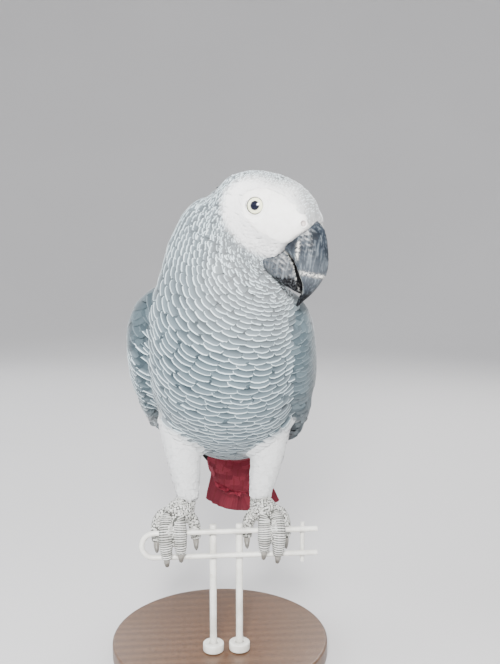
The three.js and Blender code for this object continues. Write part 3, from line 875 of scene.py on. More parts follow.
tools, along_vane, off_shaft, tone, barbs = vane_finish(
    "grey_plumage", 0.8, across=1.2, slant=-4.0, length=26.0, scale=1.6,
    Specular_IOR_Level=0.25, Sheen_Weight=0.25, Sheen_Roughness=0.5)
grey_vane, add, ramp, mix, maths, bump, shade, read, noise = tools
rim_wide = read("rim")
outward = maths("MULTIPLY_ADD", maths("POWER", off_shaft, 6.0), 0.06, along_vane)
edge = maths("DIVIDE", maths("SUBTRACT", outward, maths("SUBTRACT", 1.0, rim_wide)), rim_wide)
rim = add("MapRange", {0: edge, 1: -0.35, 2: 0.45}, interpolation_type="SMOOTHSTEP").outputs[0]
rim_share = read("rim_share")
middle = mix(tone, (0.019, 0.033, 0.042, 1), (0.070, 0.100, 0.116, 1))
# Painted shade: each feather is darker where the row above overlaps it, and grows lighter towards its tip.
overlap_shade_fade = add("MapRange", {0: outward, 1: 0.66, 2: 1.0}).outputs[0]
overlap_shade_fade = maths("MULTIPLY", maths("MULTIPLY", overlap_shade_fade, 0.40), rim_share)
middle = mix(overlap_shade_fade, middle, (0.31, 0.40, 0.45, 1))
tip = mix(tone, (0.50, 0.62, 0.67, 1), (0.68, 0.78, 0.82, 1))
colour = mix(maths("MULTIPLY", rim, rim_share), middle, tip)
colour = mix(read("pale"), colour, (0.80, 0.80, 0.80, 1))
streak = ramp(barbs, (0.3, grey(0.84)), (0.7, grey(1.06)))
colour = mix(0.7, colour, mix(1.0, colour, streak, "MULTIPLY"))
shade("Base Color", colour)
shade("Normal", bump(barbs, 0.05 * mm))

root_co = roots[:, col_place] * mm
rows_here, wide_here = roots[:, col_row_gap], roots[:, col_width]
root_wing, root_thigh, root_covert = roots[:, col_wing], roots[:, col_thigh], roots[:, col_covert]
root_normal = roots[:, col_normal]

# The plumage is ruffled up in a low mound on the nape.
nape = perch_top / mm + Vector((1.5, 0, 190.5))
by_nape = np.linalg.norm(roots[:, col_place] - nape, axis=1)
depth_here = coat_depth(root_co, root_wing, root_thigh, root_covert, bare_deep=0.45)
depth_here = depth_here + 2.8 * np.exp(-(by_nape / 9) ** 2)

# The feathers are white round the bare face, and pale down the neck but for its back.
far = from_face(root_co)
p = in_frame(root_co, head_frame)
ahead = -p[:, 1] - 9
face_long = np.where(ahead > 0, 24, 21)
face_tall = 17.5 + 3.6 * blend_in(ahead, 0, 14)
white_reach = np.hypot(ahead / face_long, (p[:, 2] + 0.26 * ahead) / face_tall)
pale_face = (1 - blend_in(white_reach, 0.76, 1.14)) * (abs(p[:, 0]) < 30)
pale_face = pale_face * (1 - blend_in(far, face_from, face_to))
behind = blend_in(-ahead, 12, 28) * (1 - blend_in(far, 40, 90))
pale_neck = (1 - blend_in(far, 30, 78)) * (1 - root_wing) * (1 - 0.6 * behind)

# A place on a folded wing is told by how far it is down the barrel of the body, and how far it is turned
# from the back towards the side. The quills reach round to lower_edge, less and less towards the tail.
p = in_frame(root_co, torso_frame)
barrel_start = np.array((0.0, -12.0, 128.0))
barrel_end = np.array((0.0, 104.0, -24.0))
barrel_length = np.linalg.norm(barrel_end - barrel_start)
barrel_way = (barrel_end - barrel_start) / barrel_length
barrel_back = np.array((0.0, -barrel_way[2], barrel_way[1]))
s_here = (p - barrel_start) @ barrel_way / barrel_length
turn_here = np.degrees(np.arctan2(abs(p[:, 0]), (p - barrel_start) @ barrel_back))
lower_edge = np.interp(s_here, (0.35, 0.45, 0.55, 0.6, 0.7, 0.78, 0.85, 0.9, 0.95), (
    110, 100, 90, 80, 70, 60, 50, 40, 30))

# Where each kind of feather grows. None are laid under the quills, and the flank's feathers sweep over the
# tucked edge of the right wing.
low = 1 - blend_in(p[:, 2], 50, 95)
to_ankle = (1 - blend_in(p[:, 2], ankle_top, ankle_top + 10)) * (root_thigh > 0.4)
tucked = blend_in(-root_normal[:, 1], 0.0, 0.35) * (1 - blend_in(p[:, 2], 100, 124)) * (p[:, 0] < 0)
behind_legs = (p[:, 1] > 34) & (root_normal[:, 2] < -0.3) & (root_wing < 0.3) & (root_thigh < 0.4)
red = (root_covert > 0.35) | behind_legs
plush = (root_thigh > 0.4) & ~red
small = (wide_here < 3.6) & ~red & ~plush
under_quills = (root_wing > 0.5) & (s_here > 0.33) & (turn_here < lower_edge - 5)
edge_quills = (root_wing > 0.5) & (s_here > 0.26) & (abs(root_normal[:, 0]) > 0.4) & ~under_quills
large = ~small & ~red & ~plush & ~under_quills & ~edge_quills
for name, chosen, rows, columns, stretch, cover, rise, loose in (
        ("head_feathers", small, 5, 5, 2.9, 0.66, 0.15, 0.20),
        ("body_feathers", large, 7, 7, 2.9, 0.64, 0.25, 0.035),
        ("thigh_plush", plush, 5, 5, 3.4, 0.72, 0.12, 0.10)):
    picked = roots[chosen]
    wing, untucked = root_wing[chosen], 1 - tucked[chosen]
    length = rows_here[chosen] * stretch * (1 - 0.5 * blend_in(root_covert[chosen], 0, 0.3))
    tips = picked[:, col_place] + picked[:, col_lie] * length[:, None]
    over_wing = where_on_body(tips * mm)[0] * (1 - wing)
    length = length * (1 + 0.25 * wing - 0.3 * over_wing + 0.6 * to_ankle[chosen])
    half = wide_here[chosen] * cover * (1 + 0.2 * wing)
    grid = contour_grid(picked, length, half, depth_here[chosen], rise, rows, columns, loose)
    thigh = (1 - blend_in(picked[:, col_thigh_gap], 0.8, 10.0)) * (1 - wing * untucked)
    wing = np.maximum(wing * untucked, 0.4 * over_wing * untucked)
    shades = {
        "tone": np.clip(0.8 * rng.random(len(length)) + 0.4 * np.maximum(low[chosen], wing) - 0.1, 0, 1),
        "pale": np.clip(0.66 * thigh + pale_face[chosen] + 0.16 * pale_neck[chosen], 0, 1),
        "rim_share": np.clip(1 - 0.9 * blend_in(wing, 0.05, 0.35) - 0.6 * thigh - 0.3 * low[chosen]
                             - 0.25 * behind[chosen], 0, 1),
        "rim": np.clip(0.55 / length, 0.05, 0.12) * rng.uniform(0.7, 1.3, len(length))}
    piece = vane_mesh(name, grid, root_uv[chosen], shades, grey_vane)
    settle(piece, name, "plumage")

# ---- Wing quills ----
# The stiff feathers of the folded wings: the greater coverts, the secondaries under them, and the dark
# primaries that cross over the tail. Each one is slipped under its neighbour nearer the back.


def powers(s, t):
    """The terms of a smooth surface over two measures."""
    return np.stack([s ** i * t ** j for i in range(5) for j in range(5 - i)], -1)


def around(turn, side):
    """The way out from the body's axis, at a turn from the back towards one side."""
    return np.cos(turn)[..., None] * barrel_back + np.sin(turn)[..., None] * np.array((side, 0, 0))


def radius_fit(name, side):
    """A smooth surface through the outside of a folded wing, measured from the body's axis."""
    form = surface_of("wing_outside", ["wing_" + name, "wing_tip_" + name])
    clear = 90
    known, radii = [], []
    for s in np.linspace(0.06, 0.98, 47):
        for turn in np.radians(np.arange(8, 116, 4)):
            start = barrel_start + barrel_way * barrel_length * s
            out = around(np.array(turn), side)
            ends = out_of_frame(np.array((start + out * clear, start)), torso_frame)
            way = Vector(ends[1] - ends[0])
            hit = form.ray_cast(Vector(ends[0]), way.normalized(), 85 * mm)
            if hit[0] is not None:
                known.append((s, turn))
                radii.append(clear - hit[3] / mm)
    return np.linalg.lstsq(powers(*np.array(known).T), np.array(radii), rcond=None)[0]


def quills(feathers, rows, columns, terms, side):
    """Places of the points of long vanes that lie on a folded wing. A feather is its root (s, turn), its
    tip (s, turn), its half width, its level over the wing and how far its edges tip up or down."""
    v = np.linspace(0, 1, rows)[:, None]
    u = np.sin(np.linspace(-pi / 2, pi / 2, columns))[None, :]
    grids = []
    for (s0, turn0), (s1, turn1), half, level, tip in feathers:
        s = s0 + (s1 - s0) * v
        turn = np.radians(turn0 + (turn1 - turn0) * v ** 0.9)
        radius = powers(s, turn) @ terms
        flat = np.stack([s * barrel_length, turn * radius], -1)
        way = unit(np.gradient(flat[:, 0], axis=0))[:, None]
        cross = np.stack([-way[..., 1], way[..., 0]], -1)
        width = half * (0.55 + 0.45 * blend_in(v, 0, 0.35)) * (1 - 0.30 * blend_in(v, 0.55, 1.0))
        back = width * 0.9 * (1 - np.cos(np.arcsin(u)) ** 0.7) * v ** 5
        ragged = rng.normal(0, 0.12, (1, columns)) * v ** 3
        flat = flat + cross * (u * width)[..., None] + way * (ragged - back)[..., None]
        s_here = flat[..., 0] / barrel_length
        turn_here = flat[..., 1] / radius
        v_here = np.clip(v - back / (barrel_length * (s1 - s0)), 0, 1)
        level_here = level - tip * u - u * u * half * 0.05 + 0.3 * blend_in(v_here, 0.85, 1.0)
        out = around(turn_here, side)
        place = barrel_start + barrel_way * (s_here * barrel_length)[..., None]
        place = place + out * (powers(s_here, turn_here) @ terms + level_here)[..., None]
        grids.append(out_of_frame(place, torso_frame) / mm)
    return np.array(grids)


def face_places(faces):
    """Where these faces of the skin lie on its unwrapping."""
    unwrapped = skin.data.uv_layers["OFBake"].data
    starts = [skin.data.polygons[face].loop_start for face in faces]
    return np.array([tuple(unwrapped[start].uv) for start in starts])


def near_roots(grids):
    """Where the vanes of these grids are rooted on the unwrapped skin."""
    faces = nearest_in(skin_tree, (grids[:, 0].mean(axis=1) * mm).tolist())[1]
    return face_places(faces)


tools, along_vane, off_shaft, tone, barbs = vane_finish(
    "quill_vane", 0.55, across=1.0, slant=-6.0, length=90.0, scale=1.3, Specular_IOR_Level=0.35)
quill_vane, add, ramp, mix, maths, bump, shade, read, noise = tools
edge = ramp(off_shaft, (0.80, grey(0)), (0.97, grey(1)))
middle = mix(tone, (0.105, 0.137, 0.155, 1), (0.155, 0.195, 0.216, 1))
colour = mix(edge, middle, (0.26, 0.31, 0.335, 1))
colour = mix(read("dark"), colour, (0.030, 0.031, 0.034, 1))
colour = mix(ramp(off_shaft, (0.03, grey(0.5)), (0.06, grey(0))), colour, (0.06, 0.06, 0.065, 1))
streak = ramp(barbs, (0.3, grey(0.72)), (0.7, grey(1.1)))
colour = mix(0.5, colour, mix(1.0, colour, streak, "MULTIPLY"))
shade("Base Color", colour)
shade("Normal", bump(barbs, 0.08 * mm))

# How far down the body and how far round it each feather starts and ends, for every feather in its row.
for name, side in sides:
    terms = radius_fit(name, side)
    share = np.linspace(0, 1, 13)
    coverts = [((0.17, 34 + 72 * k), (0.455 - 0.03 * k, 26 + 72 * k), 5.4, -0.35, 0.30) for k in share]
    share = np.linspace(0, 1, 11)
    secondaries = [((0.32, 24 + 72 * k), (0.80 - 0.15 * k, 14 + 56 * k), 6.6, -0.95, 0.40) for k in share]
    primary_tips = ((0.84, 15), (0.89, 17), (0.935, 19), (0.965, 22), (0.975, 27), (0.945, 33), (0.90, 40))
    primaries = [((0.50, 50 + 6 * k), tip, 5.0, -1.5, 0.30) for k, tip in enumerate(primary_tips)]
    hand = [((0.24, 100 - 5 * k), (0.50 + 0.035 * k, 90 - 7 * k), 4.2, -0.7, 0.30) for k in range(4)]
    for kind, feathers, dark_here in (
            ("greater_coverts", coverts, 0.05), ("secondaries", secondaries, 0.35),
            ("primaries", primaries, 0.95), ("hand_coverts", hand, 0.45)):
        grids = quills(feathers, 13, 7, terms, side)
        if side < 0:  # the mirrored vanes are turned over, so that they face out too
            grids = grids[:, :, ::-1]
        shades = {"tone": rng.random(len(grids)), "dark": np.full(len(grids), dark_here)}
        piece = vane_mesh(f"{kind}_{name}", grids, near_roots(grids), shades, quill_vane)
        nodes = [f"wing_tip_{name}"] if kind == "primaries" else []
        settle(piece, f"{kind}_{name}", "flight_feathers", *nodes)

# Along the lower edge the quills' outer vanes are tucked in beside the flank, grey above and dark below.
picked, here = roots[edge_quills], s_here[edge_quills]
length = np.clip((0.68 - here) * barrel_length, 6, 27) * rng.uniform(0.85, 1.0, len(here))
deep = depth_here[edge_quills] + rng.uniform(-0.6, 0.6, len(here))
half = np.full(len(here), 2.7)
grid = contour_grid(
    picked, length, half, deep, rise=0.1, rows=12, columns=7, loose=0.04, round_by=0.9, camber=0.2)
shades = {"tone": rng.random(len(here)), "dark": blend_in(here, 0.40, 0.56) * 0.9}
edges = vane_mesh("edge_quills", grid, root_uv[edge_quills], shades, quill_vane)
settle(edges, "edge_quills", "flight_feathers")

# ---- Tail ----
# Twelve broad crimson feathers in a fan, the middle pair on top, rooted under the coverts.
tail_start = np.array((0.0, 66.0, 34.0))
tail_end = np.array((0.0, 125.0, -33.5))
tail_length = np.linalg.norm(tail_end - tail_start)
tail_way = (tail_end - tail_start) / tail_length
tail_back = np.array((0.0, -tail_way[2], tail_way[1]))
tail_form = surface_of("tail_form", ["tail"])
clear, half_tail = 40, 25
known, heights = [], []
for along_tail in np.linspace(8, tail_length - 2, 30):
    for across_tail in np.linspace(-23, 23, 19):
        level = []
        for sign in (1, -1):
            start = tail_start + tail_way * along_tail + tail_back * clear * sign
            start = start + np.array((across_tail, 0, 0))
            ends = out_of_frame(np.array((start, start - tail_back * 2 * clear * sign)), torso_frame)
            hit = tail_form.ray_cast(Vector(ends[0]), Vector(ends[1] - ends[0]).normalized(), 2 * clear * mm)
            if hit[0] is not None:
                level.append((clear - hit[3] / mm) * sign)
        if len(level) == 2:
            known.append((along_tail / tail_length, across_tail / half_tail))
            heights.append(sum(level) / 2)
tail_terms = np.linalg.lstsq(powers(*np.array(known).T), np.array(heights), rcond=None)[0]

grids = []
rows, columns = 13, 7
root_along = 0.08
v = np.linspace(0, 1, rows)[:, None]
u = np.sin(np.linspace(-pi / 2, pi / 2, columns))[None, :]
for pair in range(6):
    for side in (1, -1):
        root_across, tip_across = side * (0.8 + 1.3 * pair), side * (2.4 + 3.7 * pair)
        reach = 1.0 - 0.0045 * pair ** 2
        middle = root_across + (tip_across - root_across) * v ** 1.2
        along_here = root_along + (reach - root_along) * v
        width = 5.9 * (0.5 + 0.5 * blend_in(v, 0, 0.5)) * (1 - 0.12 * blend_in(v, 0.8, 1.0))
        back = width * 0.55 * (1 - np.cos(np.arcsin(u)) ** 0.7) * v ** 6
        back = back + rng.normal(0, 0.15, (1, columns)) * v ** 4
        along_here = along_here - back / tail_length
        across_here = middle + u * width
        level = powers(along_here, np.clip(across_here / half_tail, -1.05, 1.05)) @ tail_terms
        level = level + 0.75 - 0.26 * pair + 0.16 * u * side - 0.04 * u * u * width
        level = level + (0.06 if side > 0 else 0)
        place = tail_start + tail_way * (along_here * tail_length)[..., None] + tail_back * level[..., None]
        place = place + np.array((1, 0, 0)) * across_here[..., None]
        grids.append(out_of_frame(place, torso_frame) / mm)
grids = np.array(grids)

tools, along_vane, off_shaft, tone, barbs = vane_finish(
    "red_vane", 0.7, across=1.0, slant=-6.0, length=70.0, scale=1.3, Specular_IOR_Level=0.12)
red_vane, add, ramp, mix, maths, bump, shade, read, noise = tools
colour = mix(tone, (0.145, 0.013, 0.026, 1), (0.235, 0.028, 0.046, 1))
colour = mix(ramp(off_shaft, (0.82, grey(0)), (1.0, grey(0.6))), colour, (0.26, 0.03, 0.05, 1))
colour = mix(ramp(off_shaft, (0.03, grey(0.6)), (0.07, grey(0))), colour, (0.12, 0.012, 0.014, 1))
streak = ramp(barbs, (0.3, grey(0.7)), (0.7, grey(1.15)))
colour = mix(0.6, colour, mix(1.0, colour, streak, "MULTIPLY"))
shade("Base Color", colour)
shade("Normal", bump(barbs, 0.08 * mm))
tail = vane_mesh("tail_fan", grids, near_roots(grids), {"tone": rng.random(len(grids))}, red_vane)
settle(tail, "tail_fan", "red_feathers", "tail")

# The red coverts lie in rows over the tail's root, above and below, and behind the legs.
red = red & (p[:, 1] < 90)
picked = roots[red]
length = rows_here[red] * 2.6 * (1 + 0.6 * blend_in(p[red, 1], 70, 88))
grid = contour_grid(
    picked, length, wide_here[red] * 0.62, depth_here[red],
    rise=0.4, rows=8, columns=7, loose=0.05, round_by=0.6)
red_coverts = vane_mesh("red_coverts", grid, root_uv[red], {"tone": rng.random(red.sum())}, red_vane)
settle(red_coverts, "red_coverts", "red_feathers", "tail_coverts")

# ---- Eyes ----
# Glassy balls in the lids: a cream iris with fine rays, dark at both its edges, round a blue-black pupil.
eye_ball, eye_depth = 6.4, 0.62
eye_finish, add, ramp, mix, maths, bump, shade, read, noise = finish_of(
    "eye_glass", 0.15, Coat_Weight=0.6, Coat_Roughness=0.02, Specular_IOR_Level=0.3)
place = add("TexCoord").outputs["Object"]
rays = noise(place, 900.0, 3.0)
ring = maths("MULTIPLY_ADD", maths("SUBTRACT", rays, 0.5), 0.25, read("from_axis"))
iris = mix(rays, (0.62, 0.62, 0.42, 1), (0.84, 0.85, 0.62, 1))
share = maths("DIVIDE", ring, 4.55)
colour = mix(ramp(share, (0.49, grey(0)), (0.56, grey(1))), (0.22, 0.21, 0.15, 1), iris)
colour = mix(ramp(share, (0.49, grey(0)), (0.515, grey(1))), (0.004, 0.005, 0.014, 1), colour)
colour = mix(ramp(share, (0.82, grey(0)), (0.90, grey(1))), colour, (0.035, 0.035, 0.032, 1))
shade("Base Color", colour)
for name, side in sides:
    near, out = eye_frames[name]
    deep = (eye_ball ** 2 - lid_radius ** 2) ** 0.5 * eye_depth
    centre = out_of_frame(near - out * deep, head_frame)
    axis = Vector(out @ np.array(head_frame.to_3x3()).T)
    alone()
    bpy.ops.mesh.primitive_uv_sphere_add(
        segments=64, ring_count=48, radius=eye_ball * mm, location=centre,
        rotation=axis.to_track_quat("Z", "Y").to_euler())
    eye = bpy.context.object
    bpy.ops.object.shade_smooth()
    p = array_of(eye.data.vertices, "co") / mm
    reach = np.hypot(p[:, 0], p[:, 1])
    front = p[:, 2] > 0
    p[:, 2] = p[:, 2] * eye_depth + np.where(front, 0.25 * np.exp(-(reach / 3.0) ** 2), 0)
    put_places(eye, p * mm)
    put_values(eye, "from_axis", np.where(front, reach, 9))
    eye.data.materials.append(eye_finish)
    settle(eye, "eyeball_" + name, "eye", "eye_" + name)

# ---- Bill ----
# Slate-grey horn over bone: a deep hooked upper mandible and a short blunt lower one that fits inside it.
# The horn grows in fine sheets from the root, rubs pale and chalky where the two meet, and is smooth above.
bill_finish, add, ramp, mix, maths, bump, shade, read, noise = finish_of(
    "slate_horn", 0.42, Coat_Weight=0.15, Coat_Roughness=0.25, Specular_IOR_Level=0.35)
place = add("Attribute", attribute_name="head_place").outputs["Vector"]
down_horn = {"Vector": place, "Rotation": (radians(-40), 0, 0), "Scale": (0.9, 0.9, 0.09)}
grain = noise(add("Mapping", down_horn).outputs[0], 1.0, 4.0, 0.6)
flakes = noise(place, 0.9, 6.0, 0.75)
colour = ramp(noise(place, 0.22, 3.0), (0.35, (0.006, 0.009, 0.014)), (0.65, (0.026, 0.034, 0.046)))
colour = mix(maths("MULTIPLY", read("worn"), 0.6), colour, (0.052, 0.062, 0.074, 1))
colour = mix(ramp(grain, (0.50, grey(0)), (0.68, grey(0.5))), colour, (0.20, 0.235, 0.265, 1))
chalk = maths("MULTIPLY", ramp(flakes, (0.44, grey(0)), (0.56, grey(1))), read("chalk"))
colour = mix(chalk, colour, (0.68, 0.67, 0.62, 1))
# Painted shadow: black in the gap where the mandibles meet. The hook's tip and the lower mandible's front
# tip are darkened too, and all these places lose their gloss.
shadow_and_tip_share = maths("MULTIPLY", read("black"), ramp(flakes, (0.50, grey(1)), (0.60, grey(0.45))))
colour = mix(shadow_and_tip_share, colour, (0.004, 0.004, 0.005, 1))
shade("Base Color", colour)
shade("Roughness", mix(chalk, grey(0.36), grey(0.85)))
shade("Specular IOR Level", mix(shadow_and_tip_share, grey(0.35), grey(0.05)))
shade("Coat Weight", mix(shadow_and_tip_share, grey(0.15), grey(0.0)))
shade("Normal", bump(flakes, 0.12 * mm, bump(grain, 0.12 * mm)))

bill_solids = {name: solid_copy("bill", ["bill_" + name], 0) for name in ("upper", "lower")}
bill_trees = {name: tree_of(solid) for name, solid in bill_solids.items()}
back_way = -(head_frame.to_3x3() @ Vector(bill_way))
for name, other in (("upper", "lower"), ("lower", "upper")):
    bill = bill_solids[name]
    facing = array_of(bill.data.polygons, "normal") @ np.array(back_way)
    choose(bill, facing > 0.95)
    bpy.ops.mesh.extrude_region_move(TRANSFORM_OT_translate={"value": back_way * 5 * mm})
    bpy.ops.transform.resize(value=(0.88, 0.88, 0.88))
    bpy.ops.object.mode_set(mode="OBJECT")
    applied(bill, "REMESH", mode="VOXEL", voxel_size=0.42 * mm)
    applied(bill, "SMOOTH", factor=0.7, iterations=16)
    co = array_of(bill.data.vertices, "co")
    out = array_of(bill.data.vertices, "normal")
    mouth_gap = nearest_in(bill_trees[other], co)[2] / mm
    p = in_frame(co, head_frame)
    x, y, z = p.T
    ridge = 0.5 * np.exp(-(x / 1.8) ** 2) * (y < -27)
    groove = -0.14 * np.exp(-((abs(x) - 3.6) / 0.5) ** 2) * (y < -30)
    wave = 0.05 * np.sin(z * 2.3 + abs(x) * 0.8) + 0.05 * np.sin(y * 1.7 - z * 3.1)
    ragged = 0.6 * np.sin(x * 2.1 + z * 1.3) + 0.5 * np.sin(y * 3.1 - z * 0.9)
    # Black painted as shadow along the gap next to the other mandible.
    black = 2 - 2 * blend_in(mouth_gap, 0.9, 1.9)
    beside_mouth = (1 - blend_in(mouth_gap, 1.2, 3.0)) * (abs(x) > 2)
    if name == "upper":
        lip = blend_in(-z + 0.14 * abs(x), 25.5, 26.3)
        high = (ridge + groove + wave) * (1 - lip) - 0.55 * lip * blend_in(-y, 29, 33) + 0.25
        rub = np.exp(-((-z + 0.14 * abs(x) - 25.2) / 1.0) ** 2) * blend_in(-y, 27, 31)
        seam = np.exp(-((y + 27.2) / 0.8) ** 2) * blend_in(-z, 7, 10) * (1 - blend_in(-z, 16, 20))
        chalk = np.clip(rub * 1.3 + seam * 1.2 + beside_mouth * 0.75, 0, 1)
        worn = np.clip(blend_in(-z, 10, 20) * (1 - blend_in(-z, 27, 33)) + beside_mouth * 0.5, 0, 1)
        # The hook darkens to black towards its tip.
        black = np.maximum(black, blend_in(-z, 30, 36))
        tip = blend_in(-z, 30, 38)
        moved = np.stack([0 * x, 1.6 * tip, -2.2 * tip], -1)
        moved[:, 1] += 2.6 * np.exp(-((z + 13) / 4.5) ** 2) * blend_in(y, -26, -20)
    else:
        high = wave + 0.15
        chalk = np.clip(beside_mouth * 0.5 + 0.06, 0, 1)
        worn = np.full(len(x), 0.35)
        # A ragged black patch at the front tip: its dark cutting edge, and painted shadow under it.
        black = np.maximum(black, blend_in(ragged - z, 25.8, 27.0) * blend_in(ragged - y, 13, 16))
        moved = np.stack([0 * x, 1.5 * blend_in(y, -20, -10), -1.6 * blend_in(-z, 18, 28)], -1)
    put_places(bill, out_of_frame(p + moved, head_frame) + out * (high * mm)[:, None])
    take(bill)
    bpy.ops.object.shade_smooth()
    bill.data.attributes.new("head_place", "FLOAT_VECTOR", "POINT").data.foreach_set(
        "vector", p.astype(np.float32).ravel())
    for key, values in (("chalk", chalk), ("black", black), ("worn", worn)):
        put_values(bill, key, values)
    bill.data.materials.clear()
    bill.data.materials.append(bill_finish)
    settle(bill, name + "_mandible", "bill_horn", "bill_" + name)

# ---- Scutes and claws ----
# Each toe is covered over its top by a ladder of horny bands, and the foot by small round scales. Between
# them the dark skin shows. The claws are solid horn, worn to a blunt point.
rail_line = perch_top / mm - Vector((0, 0, wire_radius / mm))
band_pitch, bead_pitch = 1.2, 1.1
toe_reach = 2.6


def gaps_to(nodes, points):
    """Millimetres from each point to these solids, a row for each solid."""
    return np.array([nearest_in(surface_of("solid", [node]), points)[2] for node in nodes]) / mm


def bands_over(foot_tree, centre, way, out, pitch, arc):
    """The grid of one band that arches over a toe to this turn on each side, domed between its edges."""
    side_way = np.cross(way, out)
    grid = []
    for step, lift in ((-0.5, -0.12), (-0.26, 0.24), (0.16, 0.30), (0.5, -0.12)):
        line = []
        for turn in np.radians(np.linspace(-arc, arc, 11)):
            ray = out * np.cos(turn) + side_way * np.sin(turn)
            start = centre + way * step * pitch
            hit = foot_tree.ray_cast(Vector(start * mm), Vector(ray), 9 * mm)
            reach = hit[3] / mm if hit[0] is not None else toe_reach
            fade = 1 - blend_in(abs(np.degrees(turn)), arc * 0.72, arc)
            line.append(start + ray * (reach + lift * (0.35 + 0.65 * fade) - 0.10))
        grid.append(line)
    return grid


scute_finish, add, ramp, mix, maths, bump, shade, read, noise = finish_of(
    "pale_scute", 0.6, Specular_IOR_Level=0.35)
fine = noise(add("TexCoord").outputs["Object"], 2200.0, 4.0, 0.7)
colour = mix(read("tone"), (0.34, 0.34, 0.315, 1), (0.66, 0.665, 0.64, 1))
colour = mix(ramp(fine, (0.35, grey(0.55)), (0.55, grey(0))), colour, (0.20, 0.20, 0.185, 1))
shade("Base Color", colour)
shade("Normal", bump(fine, 0.05 * mm))

claw_finish, add, ramp, mix, maths, bump, shade, read, noise = finish_of(
    "claw_horn", 0.35, Coat_Weight=0.3, Coat_Roughness=0.3)
place = add("TexCoord").outputs["Object"]
grain = noise(add("Mapping", {"Vector": place, "Scale": (1500, 1500, 220)}).outputs[0], 5.0, 4.0)
colour = ramp(read("down"), (0.0, (0.20, 0.19, 0.17)), (1.0, (0.030, 0.028, 0.027)))
colour = mix(ramp(grain, (0.45, grey(0)), (0.62, grey(0.6))), colour, (0.26, 0.25, 0.22, 1))
shade("Base Color", colour)
shade("Normal", bump(grain, 0.06 * mm))

for (name, side), foot_tree, (foot_co, foot_normal, foot_edges), first_face in zip(
        sides, foot_trees, foot_shapes, first_faces):
    toe_gap = gaps_to([f"toe_{name}_{kind}" for kind in toe_kinds], foot_co * mm)
    claw_gap = gaps_to([f"claw_{name}_{kind}" for kind in toe_kinds], foot_co * mm)
    ankle = foot_co[:, 2] > perch_top.z / mm + 12.5
    ends = claw_gap.min(axis=0) < 1.4
    reached = settled_field(len(foot_co), foot_edges, ankle | ends, ends.astype(float))

    # The bands follow a curve through the middle of each toe, and face away from the wire it holds.
    bands, banded = [], np.zeros(len(foot_co), bool)
    for number in range(len(toe_kinds)):
        mine = (toe_gap[number] < 0.6) & (toe_gap.argmin(axis=0) == number)
        share = reached[mine]
        low, high = np.percentile(share, 2), np.percentile(share, 98)
        power = np.polynomial.polynomial.polyfit(share, foot_co[mine], 4)
        steps = np.linspace(low, high, 80)
        line = np.polynomial.polynomial.polyval(steps, power).T
        run = np.concatenate([[0], np.cumsum(np.linalg.norm(np.diff(line, axis=0), axis=1))])
        spots = np.arange(0.4, run[-1] - 0.2, band_pitch)
        centres = np.stack([np.interp(spots, run, line[:, axis]) for axis in range(3)], -1)
        ways = unit(np.gradient(centres, axis=0))
        for centre, way in zip(centres, ways):
            out = centre - np.array((centre[0], rail_line.y, rail_line.z))
            out = unit(out - (out @ way) * way)
            bands.append(bands_over(foot_tree, centre, way, out, band_pitch, 96))
            near = np.linalg.norm(foot_co - centre, axis=1) < 4.6
            facing = ((foot_co - centre) * out).sum(1) > -0.6
            banded |= near & facing & mine

    # The beads take what skin is left, in any order, wherever none is yet too near.
    order = rng.permutation(len(foot_co))
    order = order[~banded[order] & (claw_gap.min(axis=0)[order] > 1.0)]
    beads, taken = [], {}
    for number in order.tolist():
        x, y, z = foot_co[number]
        cell = (int(x // bead_pitch), int(y // bead_pitch), int(z // bead_pitch))
        around_here = [
            spot for i in (-1, 0, 1) for j in (-1, 0, 1) for k in (-1, 0, 1)
            for spot in taken.get((cell[0] + i, cell[1] + j, cell[2] + k), ())]
        if all((x - a) ** 2 + (y - b) ** 2 + (z - c) ** 2 > bead_pitch ** 2 for a, b, c in around_here):
            taken.setdefault(cell, []).append((x, y, z))
            beads.append(number)
    spots, outs = foot_co[beads], foot_normal[beads]
    level_way = unit(np.cross(outs, np.array((0.3, 0.2, 1.0))))
    up_way = np.cross(outs, level_way)
    turn = np.linspace(-1, 1, 5)
    across, along = np.meshgrid(turn, turn)
    squeeze = np.sqrt(1 - across ** 2 / 2), np.sqrt(1 - along ** 2 / 2)
    across, along = across * squeeze[1], along * squeeze[0]
    dome = 0.36 * (1 - np.hypot(across, along) ** 2) - 0.10
    half = 0.69 * bead_pitch
    bead_grid = spots[:, None, None] + level_way[:, None, None] * (across * half)[..., None]
    bead_grid = bead_grid + up_way[:, None, None] * (along * half)[..., None]
    bead_grid = bead_grid + outs[:, None, None] * dome[..., None]
    for kind, grid in (("bands", np.array(bands)), ("beads", bead_grid)):
        middle = grid.reshape(len(grid), -1, 3).mean(axis=1)
        facing = np.cross(grid[:, 1, 1] - grid[:, 0, 1], grid[:, 1, 2] - grid[:, 1, 1])
        if (facing * (grid[:, 1, 2] - middle)).sum() > 0:
            grid = grid[:, :, ::-1]
        faces = nearest_in(foot_tree, (middle * mm).tolist())[1]
        uv = face_places(faces + first_face)
        piece = vane_mesh(f"{kind}_{name}", grid, uv, {"tone": rng.random(len(grid))}, scute_finish)
        settle(piece, f"scute_{kind}_{name}", "leg_skin")
    for kind in toe_kinds:
        claw = solid_copy("claw", [f"claw_{name}_{kind}"], 0.1 * mm)
        applied(claw, "REMESH", mode="VOXEL", voxel_size=0.28 * mm)
        applied(claw, "SMOOTH", factor=0.6, iterations=6)
        heights = array_of(claw.data.vertices, "co")[:, 2]
        share = (heights.max() - heights) / (heights.max() - heights.min())
        put_values(claw, "down", share)
        take(claw)
        bpy.ops.object.shade_smooth()
        claw.data.materials.clear()
        claw.data.materials.append(claw_finish)
        settle(claw, f"horn_claw_{name}_{kind}", "claw_horn", f"claw_{name}_{kind}")

